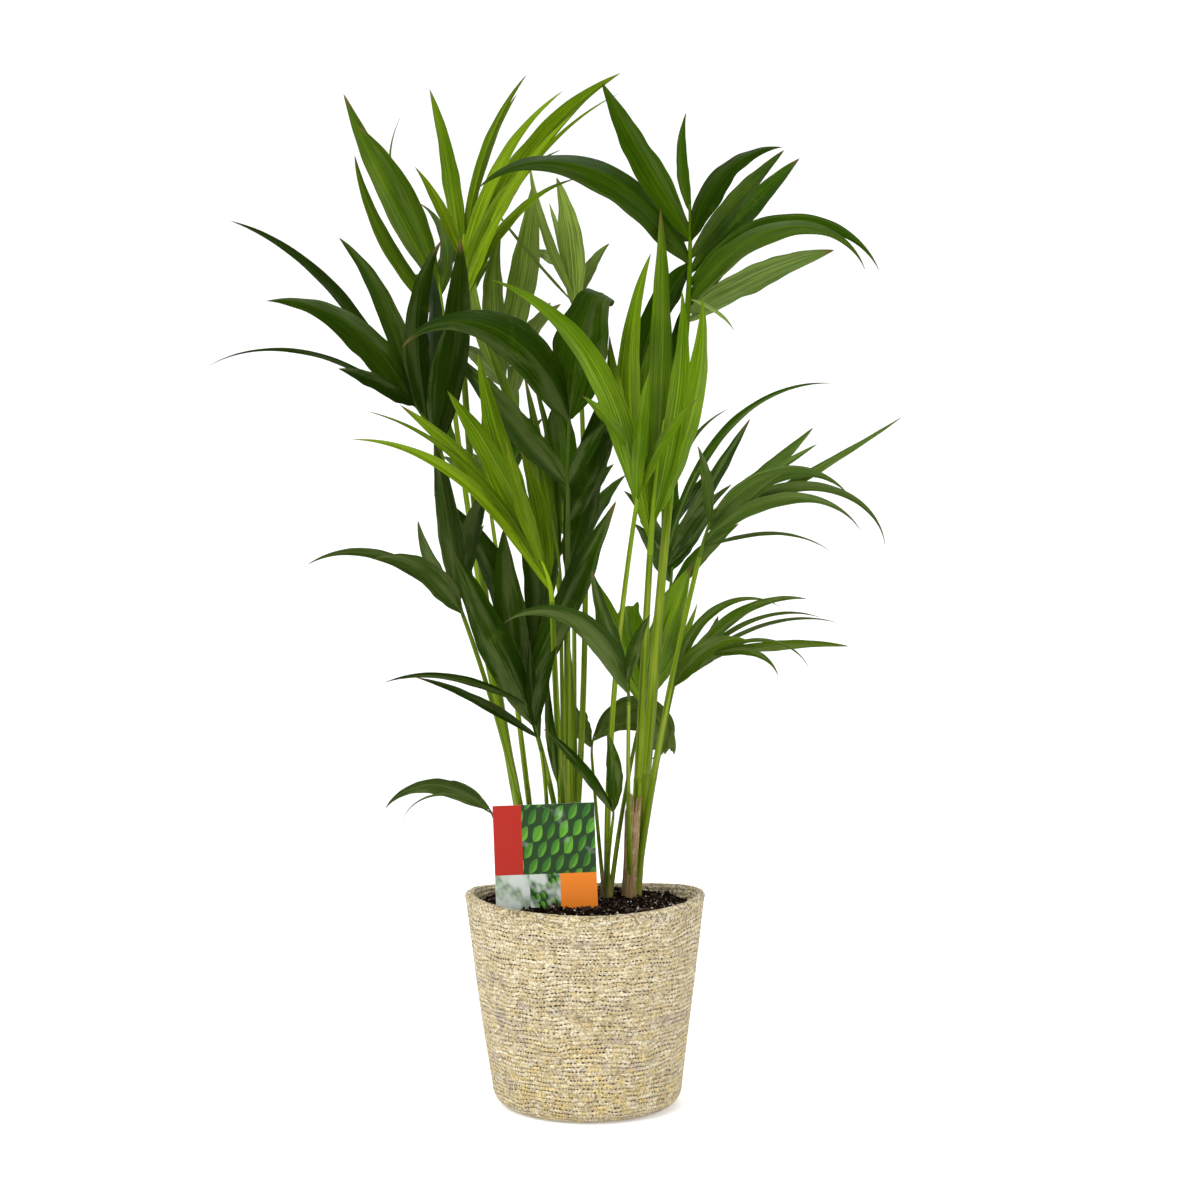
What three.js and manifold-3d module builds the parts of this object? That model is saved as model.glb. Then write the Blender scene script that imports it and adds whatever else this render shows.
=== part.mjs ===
// Kentia palm in a woven basket: a clump of four seedlings grown together in one pot.
// Units are millimetres, +Z is up, and the origin is the centre of the basket's flat underside.
//
// Angles are degrees. A heading is measured from straight up, positive towards +X. A bend is
// added to the heading along the limb. A lean tilts the limb out of the XZ plane, positive
// towards +Y (the back of the plant).

import * as THREE from 'three';
import { mergeVertices } from 'three/addons/utils/BufferGeometryUtils.js';
import Module from 'manifold-3d';

const wasm = await Module();
wasm.setup();

// ---- driving dimensions -------------------------------------------------------------------

const CLEARANCE = 0.3; // gap between neighbouring solids

const BASKET = {
  height: 205, // floor to the top of the rolled rim
  rimRadius: 120.5, // outside, at the rim
  footRadius: 94.5, // outside, where the wall starts to turn under
  wall: 7,
  rimRoll: 5, // radius of the rolled edge
  footRound: 18, // radius of the turned-under corner
  floor: 8,
  segments: 32,
};
const SOIL = { level: 198, crown: 3, edgeDrop: 2, crownRadius: 78 };
const TAG = {
  width: 97,
  height: 100, // above the potting mix
  depth: 26, // pushed into it
  thickness: 1,
  corner: 7,
  x: -34,
  y: -61,
  tilt: -3.5,
  recline: 1.5,
};

// Each seedling: where it stands on the soil, how tall its sheathed bundle is, and the
// radius of the fibrous sheath round its foot.
const STEMS = {
  a: { x: 48, y: 26, bundle: 128, sheath: 8.5, sheathHeight: 92 },
  b: { x: 22, y: 12, bundle: 66, sheath: 6, sheathHeight: 30 },
  c: { x: -14, y: 14, bundle: 150, sheath: 9, sheathHeight: 100 },
  d: { x: -42, y: 2, bundle: 120, sheath: 8.5, sheathHeight: 96 },
};
const FOOT_SPREAD = 5.5; // how far each petiole's foot stands from its stem's centre
const SHEATH_TAPER = 0.62;
const LONGEST_BOUND = 0.6; // the most of a petiole's length that its stem takes in

const PETIOLE_TAPER = 0.66; // radius at the blade over radius at the foot
const RIB_TIP_TAPER = 0.26; // radius at the rib's tip over radius at the petiole's foot
const LIMB_STEP = 56; // greatest length of one straight piece of a limb
const LIMB_TURN = 12; // greatest bend taken up by one piece
const LIMB_SIDES = 6;
const RIB_SIDES = 4;
const SKIN_TOLERANCE = 0.08; // facets nearer than this to their neighbours are merged

const BLADE_POWER = 1.7; // how late along a leaflet its bend sets in
const BLADE_HEEL = 0.16; // width at a leaflet's root over its greatest width
const FULL_ARCH = 110; // bend at which a leaflet's point is drawn out the most
const ARCH_TAPER = 0.75;
const BLADE_SECTIONS = [0, 0.2, 0.46, 0.74];
const STRONG_BEND = 60; // beyond this a leaflet is cut into more sections
const ARCHED_SECTIONS = [0, 0.2, 0.4, 0.57, 0.72, 0.86];
const BLADE_THICKNESS = 0.011; // thickness over length
const BLADE_THINNEST = 1.3;
const FIRST_STATION = 0.12; // no leaflet stands nearer the petiole than this share of the rib
const INNER_TURN = 26; // how far inner leaflets head away from the rib
const INNER_LEAN = [34, 30]; // the least lean of an inner leaflet and the range above it
const GOLDEN_SHARE = 0.618;
const ROLL = [18, 20]; // the least turn of a leaflet about its own length and the range above it
const INNER_BEND = 22;
const INNER_SHORTENING = 0.25; // how much shorter inner leaflets are at the rib's tip

const TONES = {
  mature: 0x2f5210,
  dark: 0x25401a,
  mid: 0x3f6a1c,
  gold: 0x6f8f12,
  young: 0x6a8d1c,
  pale: 0x74933a,
};

// Every frond: its stem, the petiole's radius at the foot, then
//   petiole  [length, heading, bend, lean]
//   rib      [length, bend, lean]            it carries on in the petiole's heading
//   inner    [count, side, length, width]    leaflets out of the frond's plane, side +1 backwards
//   leaflets [station on the rib, length, heading, bend, lean, width as seen from the front]
const FRONDS = [
  {
    name: 'top_right', stem: 'a', tone: 'mature', girth: 5.5,
    petiole: [558, 3.9, 1.9, -3.2], rib: [136, -8, -8], inner: [2, 1, 150, 20],
    leaflets: [
      [0.76, 170, -34, 6, -12, 30],
      [0.59, 254, -40, -100, -18, 42],
      [0.95, 107, -11, 26, 10, 12],
      [0.75, 133, 20, 77, -20, 27],
      [0.62, 177, 35, 9, 22, 19],
      [0.52, 224, 38, 5, 30, 24],
      [0.43, 245, 42, 113, 12, 24],
      [0.31, 219, 38, 129, -14, 30],
      [0.24, 202, 57, 14, 26, 24],
      [0.17, 181, 50, 19, 38, 15],
      [0.34, 63, 116, 40, -20, 5],
      [0.59, 134, -140, -47, 20, 26],
      [0.32, 117, -164, -11, 30, 15],
    ],
  },
  {
    name: 'young_front', stem: 'a', tone: 'young', girth: 4.6,
    petiole: [352, 2.0, 0.8, -13.6], rib: [130, 6, -8], inner: [0, 1, 100, 12],
    leaflets: [
      [0.08, 276, -13, 35, -4, 26],
      [0.15, 322, 4, -6, 4, 24],
      [0.23, 222, 14, -19, -10, 22],
      [0.27, 231, 22, -25, 8, 26],
      [0.12, 221, -7, 24, 14, 22],
    ],
  },
  {
    name: 'long_left', stem: 'b', tone: 'young', girth: 3.2,
    petiole: [395, -1.0, 9.5, -15.0], rib: [80, -34, -18], inner: [2, -1, 120, 13],
    leaflets: [
      [0.15, 261, -11, -68, -24, 27],
      [0.45, 142, -15, 13, 12, 16],
      [0.09, 135, 1, 11, -34, 14],
    ],
  },
  {
    name: 'pale_back', stem: 'c', tone: 'pale', girth: 3.4,
    petiole: [606, 5.1, -9.1, 6.1], rib: [86, -15, 19], inner: [2, 1, 110, 14],
    leaflets: [
      [0.26, 162, -25, 20, 6, 11],
      [0.19, 157, -44, 9, -10, 4],
      [0.09, 162, -2, -16, 16, 26],
      [0.41, 132, -12, -4, 30, 8],
    ],
  },
  {
    name: 'gold_top', stem: 'd', tone: 'gold', girth: 4.6,
    petiole: [583, -12.1, 9.0, 1.8], rib: [103, 8, 10], inner: [2, -1, 150, 13],
    leaflets: [
      [0.71, 205, -7, -11, 14, 19],
      [0.78, 242, 6, 28, 20, 11],
      [0.62, 209, 16, 41, -8, 16],
      [0.52, 283, 22, 39, 6, 24],
      [0.41, 209, 27, 27, -22, 12],
      [0.36, 280, 22, 41, 6, 6],
      [0.31, 188, 15, 61, -16, 15],
      [0.26, 189, 28, 60, -28, 14],
      [0.83, 219, 7, 22, 24, 9],
    ],
  },
  {
    name: 'mid_back_left', stem: 'd', tone: 'mid', girth: 3.8,
    petiole: [600, -12.7, 5.5, 10.7], rib: [104, -2, 18], inner: [3, 1, 140, 17],
    leaflets: [
      [0.66, 286, -28, 6, 18, 26],
      [0.84, 193, -18, -28, 4, 19],
      [0.24, 204, -39, 30, -6, 17],
      [0.9, 243, -35, 59, 24, 6],
      [0.6, 155, 9, -65, 30, 16],
    ],
  },
  {
    name: 'left_mature', stem: 'd', tone: 'dark', girth: 4.8,
    petiole: [453, -10.1, -3.5, -6.5], rib: [72, -34, -11], inner: [2, -1, 130, 18],
    leaflets: [
      [0.95, 280, -30, -40, 16, 13],
      [0.85, 170, -33, -66, -14, 35],
      [0.7, 196, -14, -30, 10, 24],
      [0.67, 218, -56, -73, -24, 7],
      [0.47, 176, -11, 45, -8, 26],
      [0.13, 207, 10, -11, 4, 30],
      [0.35, 244, -1, -8, 38, 22],
    ],
  },
  {
    name: 'centre_mature', stem: 'c', tone: 'dark', girth: 4.4,
    petiole: [306, -1.1, 1.4, -11.0], rib: [217, 1, -9], inner: [1, -1, 100, 18],
    leaflets: [
      [0.79, 217, -27, -124, -26, 44],
      [0.86, 150, -21, -86, -8, 20],
      [0.8, 125, 8, 13, -20, 44],
      [0.51, 183, -40, 0, 14, 26],
      [0.04, 204, 11, 2, 16, 32],
      [0.35, 124, 24, 5, 26, 26],
    ],
  },
  {
    name: 'bright_left', stem: 'c', tone: 'gold', girth: 3.8,
    petiole: [319, -4.2, 2.6, -22.2], rib: [60, -39, -19], inner: [0, -1, 120, 14],
    leaflets: [
      [0.17, 242, -30, -63, -16, 15],
      [0.35, 241, -29, -51, -26, 8],
      [0.42, 208, -32, -24, -8, 22],
      [0.57, 184, -24, -13, -14, 26],
      [0.75, 195, -21, 12, -4, 22],
      [0.35, 129, -6, -17, 10, 17],
      [0.66, 137, -20, 11, -40, 14],
    ],
  },
  {
    name: 'thin_mid', stem: 'c', tone: 'mid', girth: 2.6,
    petiole: [308, -2.7, 2.6, -7.2], rib: [74, -13, -6], inner: [1, 1, 140, 10],
    leaflets: [
      [0.34, 202, -9, -4, 4, 11],
      [0.47, 197, -2, -18, 12, 10],
      [0.6, 258, -16, -8, 18, 14],
    ],
  },
  {
    name: 'left_low', stem: 'd', tone: 'dark', girth: 3.0,
    petiole: [305, -8.2, -10.6, -18.3], rib: [34, 0, -20], inner: [1, 1, 110, 13],
    leaflets: [
      [0.3, 164, -45, -82, -22, 14],
      [0.18, 116, -32, -74, -36, 25],
      [0.48, 150, -6, -6, -6, 21],
      [0.6, 132, 8, 16, 22, 19],
      [0.42, 121, -39, 29, 36, 14],
    ],
  },
  {
    name: 'hang_left', stem: 'd', tone: 'dark', girth: 2.6,
    petiole: [165, 8.6, -16.6, -20.8], rib: [57, -19, -23], inner: [1, -1, 110, 14],
    leaflets: [
      [0.52, 183, -26, 4, -12, 32],
      [0.19, 103, -9, 12, -20, 12],
      [0.91, 142, -63, -49, -14, 8],
      [0.27, 152, -54, -22, -34, 9],
    ],
  },
  {
    name: 'fan_centre', stem: 'c', tone: 'dark', girth: 3.2,
    petiole: [215, -3.7, -14.4, -15.0], rib: [51, 33, -16], inner: [1, 1, 130, 18],
    leaflets: [
      [0.09, 163, -11, 12, -14, 31],
      [0.19, 221, -7, -49, 6, 34],
      [0.29, 177, 15, -55, 14, 30],
      [0.02, 207, 25, 2, -10, 28],
      [0.6, 166, 15, 0, 34, 22],
    ],
  },
  {
    name: 'cross_front', stem: 'a', tone: 'dark', girth: 2.6,
    petiole: [227, -3.3, 3.6, -27.4], rib: [43, -31, -19], inner: [1, -1, 90, 13],
    leaflets: [
      [0.25, 166, -22, -110, -20, 28],
      [0.5, 110, -21, 10, -4, 18],
    ],
  },
  {
    name: 'right_back', stem: 'a', tone: 'dark', girth: 3.2,
    petiole: [329, 6.9, -2.9, 5.6], rib: [68, 2, 19], inner: [3, 1, 160, 14],
    leaflets: [
      [0.57, 176, 2, 63, 10, 8],
      [0.41, 317, 17, 74, 20, 11],
      [0.24, 245, 30, 2, 34, 17],
      [0.16, 47, 47, -3, -6, 7],
    ],
  },
  {
    name: 'right_arch', stem: 'a', tone: 'mature', girth: 3.4,
    petiole: [354, 6.7, 6.6, -12.0], rib: [49, 6, -17], inner: [2, -1, 130, 13],
    leaflets: [
      [0.67, 159, 41, 107, -14, 22],
      [0.57, 223, 53, 131, -28, 14],
      [0.4, 203, 53, 109, -42, 17],
      [0.61, 212, 63, -7, -8, 9],
      [0.89, 148, 52, -9, 20, 16],
      [0.99, 121, 56, 3, 6, 9],
      [0.2, 133, 72, 59, -20, 5],
    ],
  },
  {
    name: 'right_low', stem: 'a', tone: 'mid', girth: 3.0,
    petiole: [213, 7.1, 5.9, 3.8], rib: [63, 68, 15], inner: [2, 1, 110, 12],
    leaflets: [
      [0.14, 164, 12, 117, -16, 13],
      [0.27, 175, 36, 64, 12, 15],
      [0.46, 187, 48, 61, 24, 6],
      [0.58, 223, 58, 47, 34, 5],
      [0.89, 154, 80, 17, 6, 11],
      [0.99, 84, 76, 92, -18, 11],
      [0.95, 122, 64, 100, -10, 5],
      [0.08, 110, 29, 79, -34, 22],
    ],
  },
  {
    name: 'pale_low', stem: 'b', tone: 'young', girth: 2.6,
    petiole: [194, 6.9, 6.3, 9.0], rib: [63, -9, 18], inner: [2, 1, 84, 14],
    leaflets: [
      [0.12, 156, -17, -14, 8, 16],
      [0.24, 109, -15, 13, 20, 26],
      [0.05, 82, -32, -10, -8, 9],
      [0.38, 144, 17, 9, 14, 34],
      [0.3, 133, 39, -22, 30, 11],
    ],
  },
  {
    name: 'low_back', stem: 'b', tone: 'mid', girth: 2.2,
    petiole: [152, -5.8, 1.4, 21.1], rib: [37, 32, 22], inner: [0, 1, 60, 13],
    leaflets: [
      [0.27, 50, -30, 21, 10, 17],
      [0.59, 126, 34, 225, -2, 24],
      [0.46, 110, 46, 162, 4, 20],
    ],
  },
  {
    name: 'low_front', stem: 'b', tone: 'dark', girth: 2.0,
    petiole: [113, 0.9, 5.2, -37.3], rib: [20, -19, -24], inner: [0, 1, 100, 12],
    leaflets: [
      [0.34, 108, -33, -18, -12, 11],
      [0.45, 75, 4, -24, -4, 16],
    ],
  },
  {
    name: 'tag_side', stem: 'd', tone: 'dark', girth: 2.0,
    petiole: [107, -30.9, 11.3, -24.2], rib: [24, -32, -20], inner: [0, 1, 100, 12],
    leaflets: [
      [0.5, 112, -56, -92, -10, 19],
      [0.21, 112, -52, -116, -26, 4],
      [0.8, 68, -51, -84, 16, 13],
    ],
  },
  {
    name: 'broad_back', stem: 'c', tone: 'pale', girth: 3.4,
    petiole: [522, 6.6, -26.5, 9.4], rib: [88, 31, 19], inner: [4, 1, 170, 19],
    leaflets: [
      [0.73, 202, 13, -12, 6, 31],
      [0.51, 149, -13, 32, -10, 25],
      [0.37, 157, -28, 39, 16, 16],
    ],
  },
  {
    name: 'dark_spear', stem: 'c', tone: 'dark', girth: 1.9,
    petiole: [132, -9.6, 9.6, -31.8], rib: [26, -26, -9], inner: [0, 1, 100, 12],
    leaflets: [
      [0.52, 99, -9, 11, -4, 10],
    ],
  },
  {
    name: 'far_left', stem: 'd', tone: 'mature', girth: 3.2,
    petiole: [434, -7.4, -1.8, 22.1], rib: [73, 1, 21], inner: [5, 1, 165, 19],
    leaflets: [
      [0.69, 139, -53, 85, 30, 22],
      [0.86, 201, 24, -47, 40, 24],
      [0.6, 129, 6, -30, 14, 22],
    ],
  },
  {
    name: 'far_centre', stem: 'c', tone: 'mature', girth: 3.2,
    petiole: [387, 1.8, -2.9, 23.9], rib: [86, -3, 19], inner: [5, 1, 140, 19],
    leaflets: [
      [0.78, 167, -23, 42, 34, 24],
      [0.43, 97, -28, -74, 40, 22],
      [0.85, 147, -2, -23, 12, 24],
    ],
  },
  {
    name: 'far_right', stem: 'a', tone: 'mature', girth: 3.0,
    petiole: [333, 3.0, 9.6, 20.9], rib: [63, -14, 24], inner: [4, 1, 150, 18],
    leaflets: [
      [0.6, 126, 13, 47, 36, 18],
      [0.7, 141, -3, 16, 18, 20],
    ],
  },
];

// ---- curves -------------------------------------------------------------------------------

const radians = THREE.MathUtils.degToRad;

// A point on a limb that bends by a constant amount along its length.
function arcPoint(start, length, heading, bend, lean, t) {
  const h0 = radians(heading);
  const turn = Math.abs(bend) < 0.01 ? 0.0002 : radians(bend);
  const run = length * Math.cos(radians(lean));
  return new THREE.Vector3(
    start.x + (run * (Math.cos(h0) - Math.cos(h0 + turn * t))) / turn,
    start.y + length * Math.sin(radians(lean)) * t,
    start.z + (run * (Math.sin(h0 + turn * t) - Math.sin(h0))) / turn,
  );
}

// The unit direction of travel at a heading and a lean.
function direction(heading, lean) {
  const h = radians(heading);
  const l = radians(lean);
  return new THREE.Vector3(Math.sin(h) * Math.cos(l), Math.sin(l), Math.cos(h) * Math.cos(l));
}

// A point on a leaflet, whose bend sets in late: the sum of short steps at the midpoint heading.
function bladePoint(start, leaf, t) {
  const steps = 24;
  const point = start.clone();
  for (let i = 0; i < steps; i += 1) {
    const s = ((i + 0.5) / steps) * t;
    const step = direction(leaf.heading + leaf.bend * s ** BLADE_POWER, leaf.lean);
    point.addScaledVector(step, (leaf.length * t) / steps);
  }
  return point;
}

// A leaflet's width along its length, over its greatest width: a lance shape, drawn out to a
// longer point the further it arches over.
function bladeWidth(t, bend) {
  const lance = Math.max(BLADE_HEEL * (1 - t), Math.sin(Math.PI * t ** 0.8) ** 0.8);
  const arched = Math.min(1, Math.abs(bend) / FULL_ARCH);
  return lance * (1 - ARCH_TAPER * arched * t ** 1.5);
}

// ---- closed meshes ------------------------------------------------------------------------

// Joins rings of equal count into one closed skin, with a flat cap or a point at each end. Where
// four points aren't in one plane, they are split along the diagonal that lies further out, so
// that a twisted thin blade never folds through itself.
function loft(rings, tip = null) {
  const count = rings[0].length;
  const vertices = rings.flat();
  const faces = [];
  for (let i = 0; i + 1 < rings.length; i += 1) {
    const middle = new THREE.Vector3();
    for (const point of [...rings[i], ...rings[i + 1]]) middle.addScaledVector(point, 0.5 / count);
    for (let j = 0; j < count; j += 1) {
      const a = i * count + j;
      const b = i * count + ((j + 1) % count);
      const rising = vertices[b + count].clone().sub(vertices[a]);
      const falling = vertices[a + count].clone().sub(vertices[b]);
      const normal = rising.clone().cross(falling);
      const outward = vertices[a].clone().add(vertices[b + count]).multiplyScalar(0.5).sub(middle);
      const side = Math.sign(normal.dot(outward));
      const lift = vertices[a].clone().add(vertices[b + count]).sub(vertices[b]).sub(vertices[a + count]);
      if (side * lift.dot(normal) >= 0) faces.push([a, b, b + count], [a, b + count, a + count]);
      else faces.push([a, b, a + count], [b, b + count, a + count]);
    }
  }
  for (let j = 1; j + 1 < count; j += 1) faces.push([0, j + 1, j]);
  const last = (rings.length - 1) * count;
  if (tip) {
    vertices.push(tip);
    for (let j = 0; j < count; j += 1) faces.push([last + j, last + ((j + 1) % count), vertices.length - 1]);
  } else {
    for (let j = 1; j + 1 < count; j += 1) faces.push([last, last + j, last + j + 1]);
  }
  const geometry = new THREE.BufferGeometry();
  const coordinates = vertices.flatMap((vertex) => vertex.toArray());
  geometry.setAttribute('position', new THREE.Float32BufferAttribute(coordinates, 3));
  geometry.setIndex(faces.flat());
  return geometry;
}

function toSolid(geometry) {
  const bare = geometry.clone();
  for (const name of Object.keys(bare.attributes)) {
    if (name !== 'position') bare.deleteAttribute(name);
  }
  const merged = mergeVertices(bare, 1e-4);
  return new wasm.Manifold(
    new wasm.Mesh({
      numProp: 3,
      vertProperties: new Float32Array(merged.attributes.position.array),
      triVerts: new Uint32Array(merged.index.array),
    }),
  );
}

function toGeometry(solid) {
  const mesh = solid.getMesh();
  const geometry = new THREE.BufferGeometry();
  geometry.setAttribute('position', new THREE.BufferAttribute(new Float32Array(mesh.vertProperties), 3));
  geometry.setIndex(new THREE.BufferAttribute(new Uint32Array(mesh.triVerts), 1));
  return geometry;
}

// Fuses solids that cross, and fills any pocket sealed in between them.
function union(solids) {
  const fused = solids.reduce((sum, solid) => sum.add(solid)).simplify(SKIN_TOLERANCE);
  const skins = fused.decompose().filter((skin) => skin.volume() > 0);
  return skins.reduce((sum, skin) => sum.add(skin));
}

// A tapering round limb between two shares of an arc. Where it carries on from a limb that runs
// in the direction `after`, its first ring faces that limb squarely across the clearance.
function limb(start, arc, from, to, radiusFrom, radiusTo, after = null) {
  const { length, heading, bend, lean } = arc;
  const share = to - from;
  const pieces = Math.ceil(Math.max((length * share) / LIMB_STEP, (Math.abs(bend) * share) / LIMB_TURN));
  const sides = after ? RIB_SIDES : LIMB_SIDES;
  const rings = [];
  for (let i = 0; i <= pieces; i += 1) {
    const t = from + (share * i) / pieces;
    const square = after && i === 0;
    const along = square ? after : direction(heading + bend * t, lean);
    const centre = square
      ? start.clone().addScaledVector(after, CLEARANCE)
      : arcPoint(start, length, heading, bend, lean, t);
    const side = new THREE.Vector3(0, 1, 0).cross(along).normalize();
    const front = along.clone().cross(side);
    const radius = THREE.MathUtils.lerp(radiusFrom, radiusTo, i / pieces);
    const ring = [];
    for (let k = 0; k < sides; k += 1) {
      const angle = (2 * Math.PI * k) / sides;
      const spoke = side.clone().multiplyScalar(Math.cos(angle)).addScaledVector(front, Math.sin(angle));
      ring.push(centre.clone().addScaledVector(spoke, radius));
    }
    rings.push(ring);
  }
  return loft(rings);
}

// A leaflet: a thin keeled blade, three points to a section, drawn out to a point.
function blade(root, leaf) {
  const thickness = Math.max(BLADE_THINNEST, leaf.length * BLADE_THICKNESS);
  const sections = Math.abs(leaf.bend) > STRONG_BEND ? ARCHED_SECTIONS : BLADE_SECTIONS;
  const rings = sections.map((t) => {
    const centre = bladePoint(root, leaf, t);
    const heading = leaf.heading + leaf.bend * t ** BLADE_POWER;
    const along = direction(heading, leaf.lean);
    const flat = new THREE.Vector3(Math.cos(radians(heading)), 0, -Math.sin(radians(heading)));
    const across = flat.applyAxisAngle(along, radians(leaf.roll));
    const out = across.clone().cross(along);
    const half = (leaf.width * bladeWidth(t, leaf.bend)) / 2;
    return [
      centre.clone().addScaledVector(across, half),
      centre.clone().addScaledVector(across, -half),
      centre.clone().addScaledVector(out, thickness),
    ];
  });
  return loft(rings, bladePoint(root, leaf, 1));
}

// ---- fronds -------------------------------------------------------------------------------

function stemFoot(frond) {
  const stem = STEMS[frond.stem];
  const reach = arcPoint(new THREE.Vector3(), ...frond.petiole, 1);
  const out = new THREE.Vector3(reach.x, reach.y, 0).setLength(FOOT_SPREAD);
  return new THREE.Vector3(stem.x + out.x, stem.y + out.y, SOIL.level);
}

function arcOf([length, heading, bend, lean]) {
  return { length, heading, bend, lean };
}

// A leaflet turns about its own length, each by its own amount, and is widened to match.
function leafOf([length, heading, bend, lean, seenWidth], index) {
  const hand = Math.sign(heading + 0.5) * Math.sign(lean);
  const roll = hand * (ROLL[0] + ROLL[1] * ((index * GOLDEN_SHARE) % 1));
  return { length, heading, bend, lean, roll, width: seenWidth / Math.cos(radians(roll)) };
}

function ribOf(frond) {
  const [, heading, bend] = frond.petiole;
  const [length, turn, lean] = frond.rib;
  return { length, heading: heading + bend, bend: turn, lean };
}

// The leaflets that stand out of a frond's plane: evenly spaced along the rib, left and right
// in turn, their leans dealt out by the golden ratio so that no two neighbours match.
function innerLeaflets(frond, rib) {
  const [count, side, length, width] = frond.inner;
  return Array.from({ length: count }, (_, i) => {
    const station = (i + 0.5) / count;
    const hand = i % 2 === 0 ? 1 : -1;
    return [
      station,
      length * (1 - INNER_SHORTENING * station),
      rib.heading + rib.bend * station + hand * INNER_TURN,
      hand * INNER_BEND,
      side * (INNER_LEAN[0] + INNER_LEAN[1] * ((i * GOLDEN_SHARE) % 1)),
      width,
    ];
  });
}

function frondBlade(frond) {
  const foot = stemFoot(frond);
  const base = arcPoint(foot, ...frond.petiole, 1);
  const rib = ribOf(frond);
  const [, heading, bend, lean] = frond.petiole;
  const after = direction(heading + bend, lean);
  const thick = frond.girth * PETIOLE_TAPER;
  const solids = [toSolid(limb(base, rib, 0, 1, thick, frond.girth * RIB_TIP_TAPER, after))];
  [...frond.leaflets, ...innerLeaflets(frond, rib)].forEach(([station, ...leaf], index) => {
    const at = Math.max(station, FIRST_STATION);
    const root = arcPoint(base, rib.length, rib.heading, rib.bend, rib.lean, at);
    solids.push(toSolid(blade(root, leafOf(leaf, index))));
  });
  return toGeometry(union(solids));
}

// The share of the petiole's length that is bound into its stem.
function boundShare(frond) {
  return Math.min(LONGEST_BOUND, STEMS[frond.stem].bundle / frond.petiole[0]);
}

function petiole(frond) {
  const from = boundShare(frond) + CLEARANCE / frond.petiole[0];
  const radiusFrom = THREE.MathUtils.lerp(1, PETIOLE_TAPER, from) * frond.girth;
  return limb(stemFoot(frond), arcOf(frond.petiole), from, 1, radiusFrom, PETIOLE_TAPER * frond.girth);
}

// A stem is the bound feet of its petioles round a fibrous sheath, cut flat at the soil.
function stem(key) {
  const { x, y, sheath, sheathHeight } = STEMS[key];
  const floor = SOIL.level + SOIL.crown + CLEARANCE;
  const core = new THREE.CylinderGeometry(sheath * SHEATH_TAPER, sheath, sheathHeight, 10);
  core.rotateX(Math.PI / 2).translate(x, y, floor + sheathHeight / 2);
  const solids = [toSolid(core)];
  for (const frond of FRONDS.filter((f) => f.stem === key)) {
    const to = boundShare(frond);
    const radiusTo = THREE.MathUtils.lerp(1, PETIOLE_TAPER, to) * frond.girth;
    solids.push(toSolid(limb(stemFoot(frond), arcOf(frond.petiole), 0, to, frond.girth, radiusTo)));
  }
  const depth = 40;
  const ground = new THREE.BoxGeometry(200, 200, depth).translate(x, y, floor - depth / 2);
  return toGeometry(union(solids).subtract(toSolid(ground)));
}

// ---- basket, potting mix and tag ----------------------------------------------------------

function basketOuter(z) {
  const share = (z - BASKET.footRound) / (BASKET.height - BASKET.footRound);
  return THREE.MathUtils.lerp(BASKET.footRadius, BASKET.rimRadius, share);
}

function basket() {
  const { height, wall, rimRoll, footRound, floor, segments } = BASKET;
  const profile = [new THREE.Vector2(0, 0)];
  const cornerSteps = 3;
  for (let i = 0; i <= cornerSteps; i += 1) {
    const angle = (i / cornerSteps) * (Math.PI / 2);
    const x = basketOuter(footRound) - footRound * (1 - Math.sin(angle));
    profile.push(new THREE.Vector2(x, footRound * (1 - Math.cos(angle))));
  }
  profile.push(new THREE.Vector2(basketOuter(height / 2), height / 2));
  const rollCentre = basketOuter(height) - rimRoll;
  const rollSteps = 4;
  for (let i = 0; i <= rollSteps; i += 1) {
    const angle = (i / rollSteps) * Math.PI;
    const x = rollCentre + rimRoll * Math.cos(angle);
    profile.push(new THREE.Vector2(x, height - rimRoll + rimRoll * Math.sin(angle)));
  }
  profile.push(new THREE.Vector2(basketOuter(height / 2) - wall, height / 2));
  profile.push(new THREE.Vector2(basketOuter(footRound) - wall, footRound));
  profile.push(new THREE.Vector2(basketOuter(footRound) - wall - 8, floor));
  profile.push(new THREE.Vector2(0, floor));
  return new THREE.LatheGeometry(profile, segments).rotateX(Math.PI / 2);
}

function pottingMix() {
  const { height, wall, footRound, floor, segments } = BASKET;
  const inside = (z) => basketOuter(z) - wall - 1.2;
  const lowest = basketOuter(footRound) - wall - 9.5;
  const profile = [
    new THREE.Vector2(0, floor + CLEARANCE),
    new THREE.Vector2(lowest, floor + CLEARANCE),
    new THREE.Vector2(inside(footRound), footRound),
    new THREE.Vector2(inside(height / 2), height / 2),
    new THREE.Vector2(inside(SOIL.level - SOIL.edgeDrop) - 3.4, SOIL.level - SOIL.edgeDrop),
    new THREE.Vector2(SOIL.crownRadius, SOIL.level + SOIL.crown),
    new THREE.Vector2(0, SOIL.level + SOIL.crown),
  ];
  const whole = toSolid(new THREE.LatheGeometry(profile, segments).rotateX(Math.PI / 2));
  return toGeometry(whole.subtract(toSolid(tag(CLEARANCE))));
}

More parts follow.
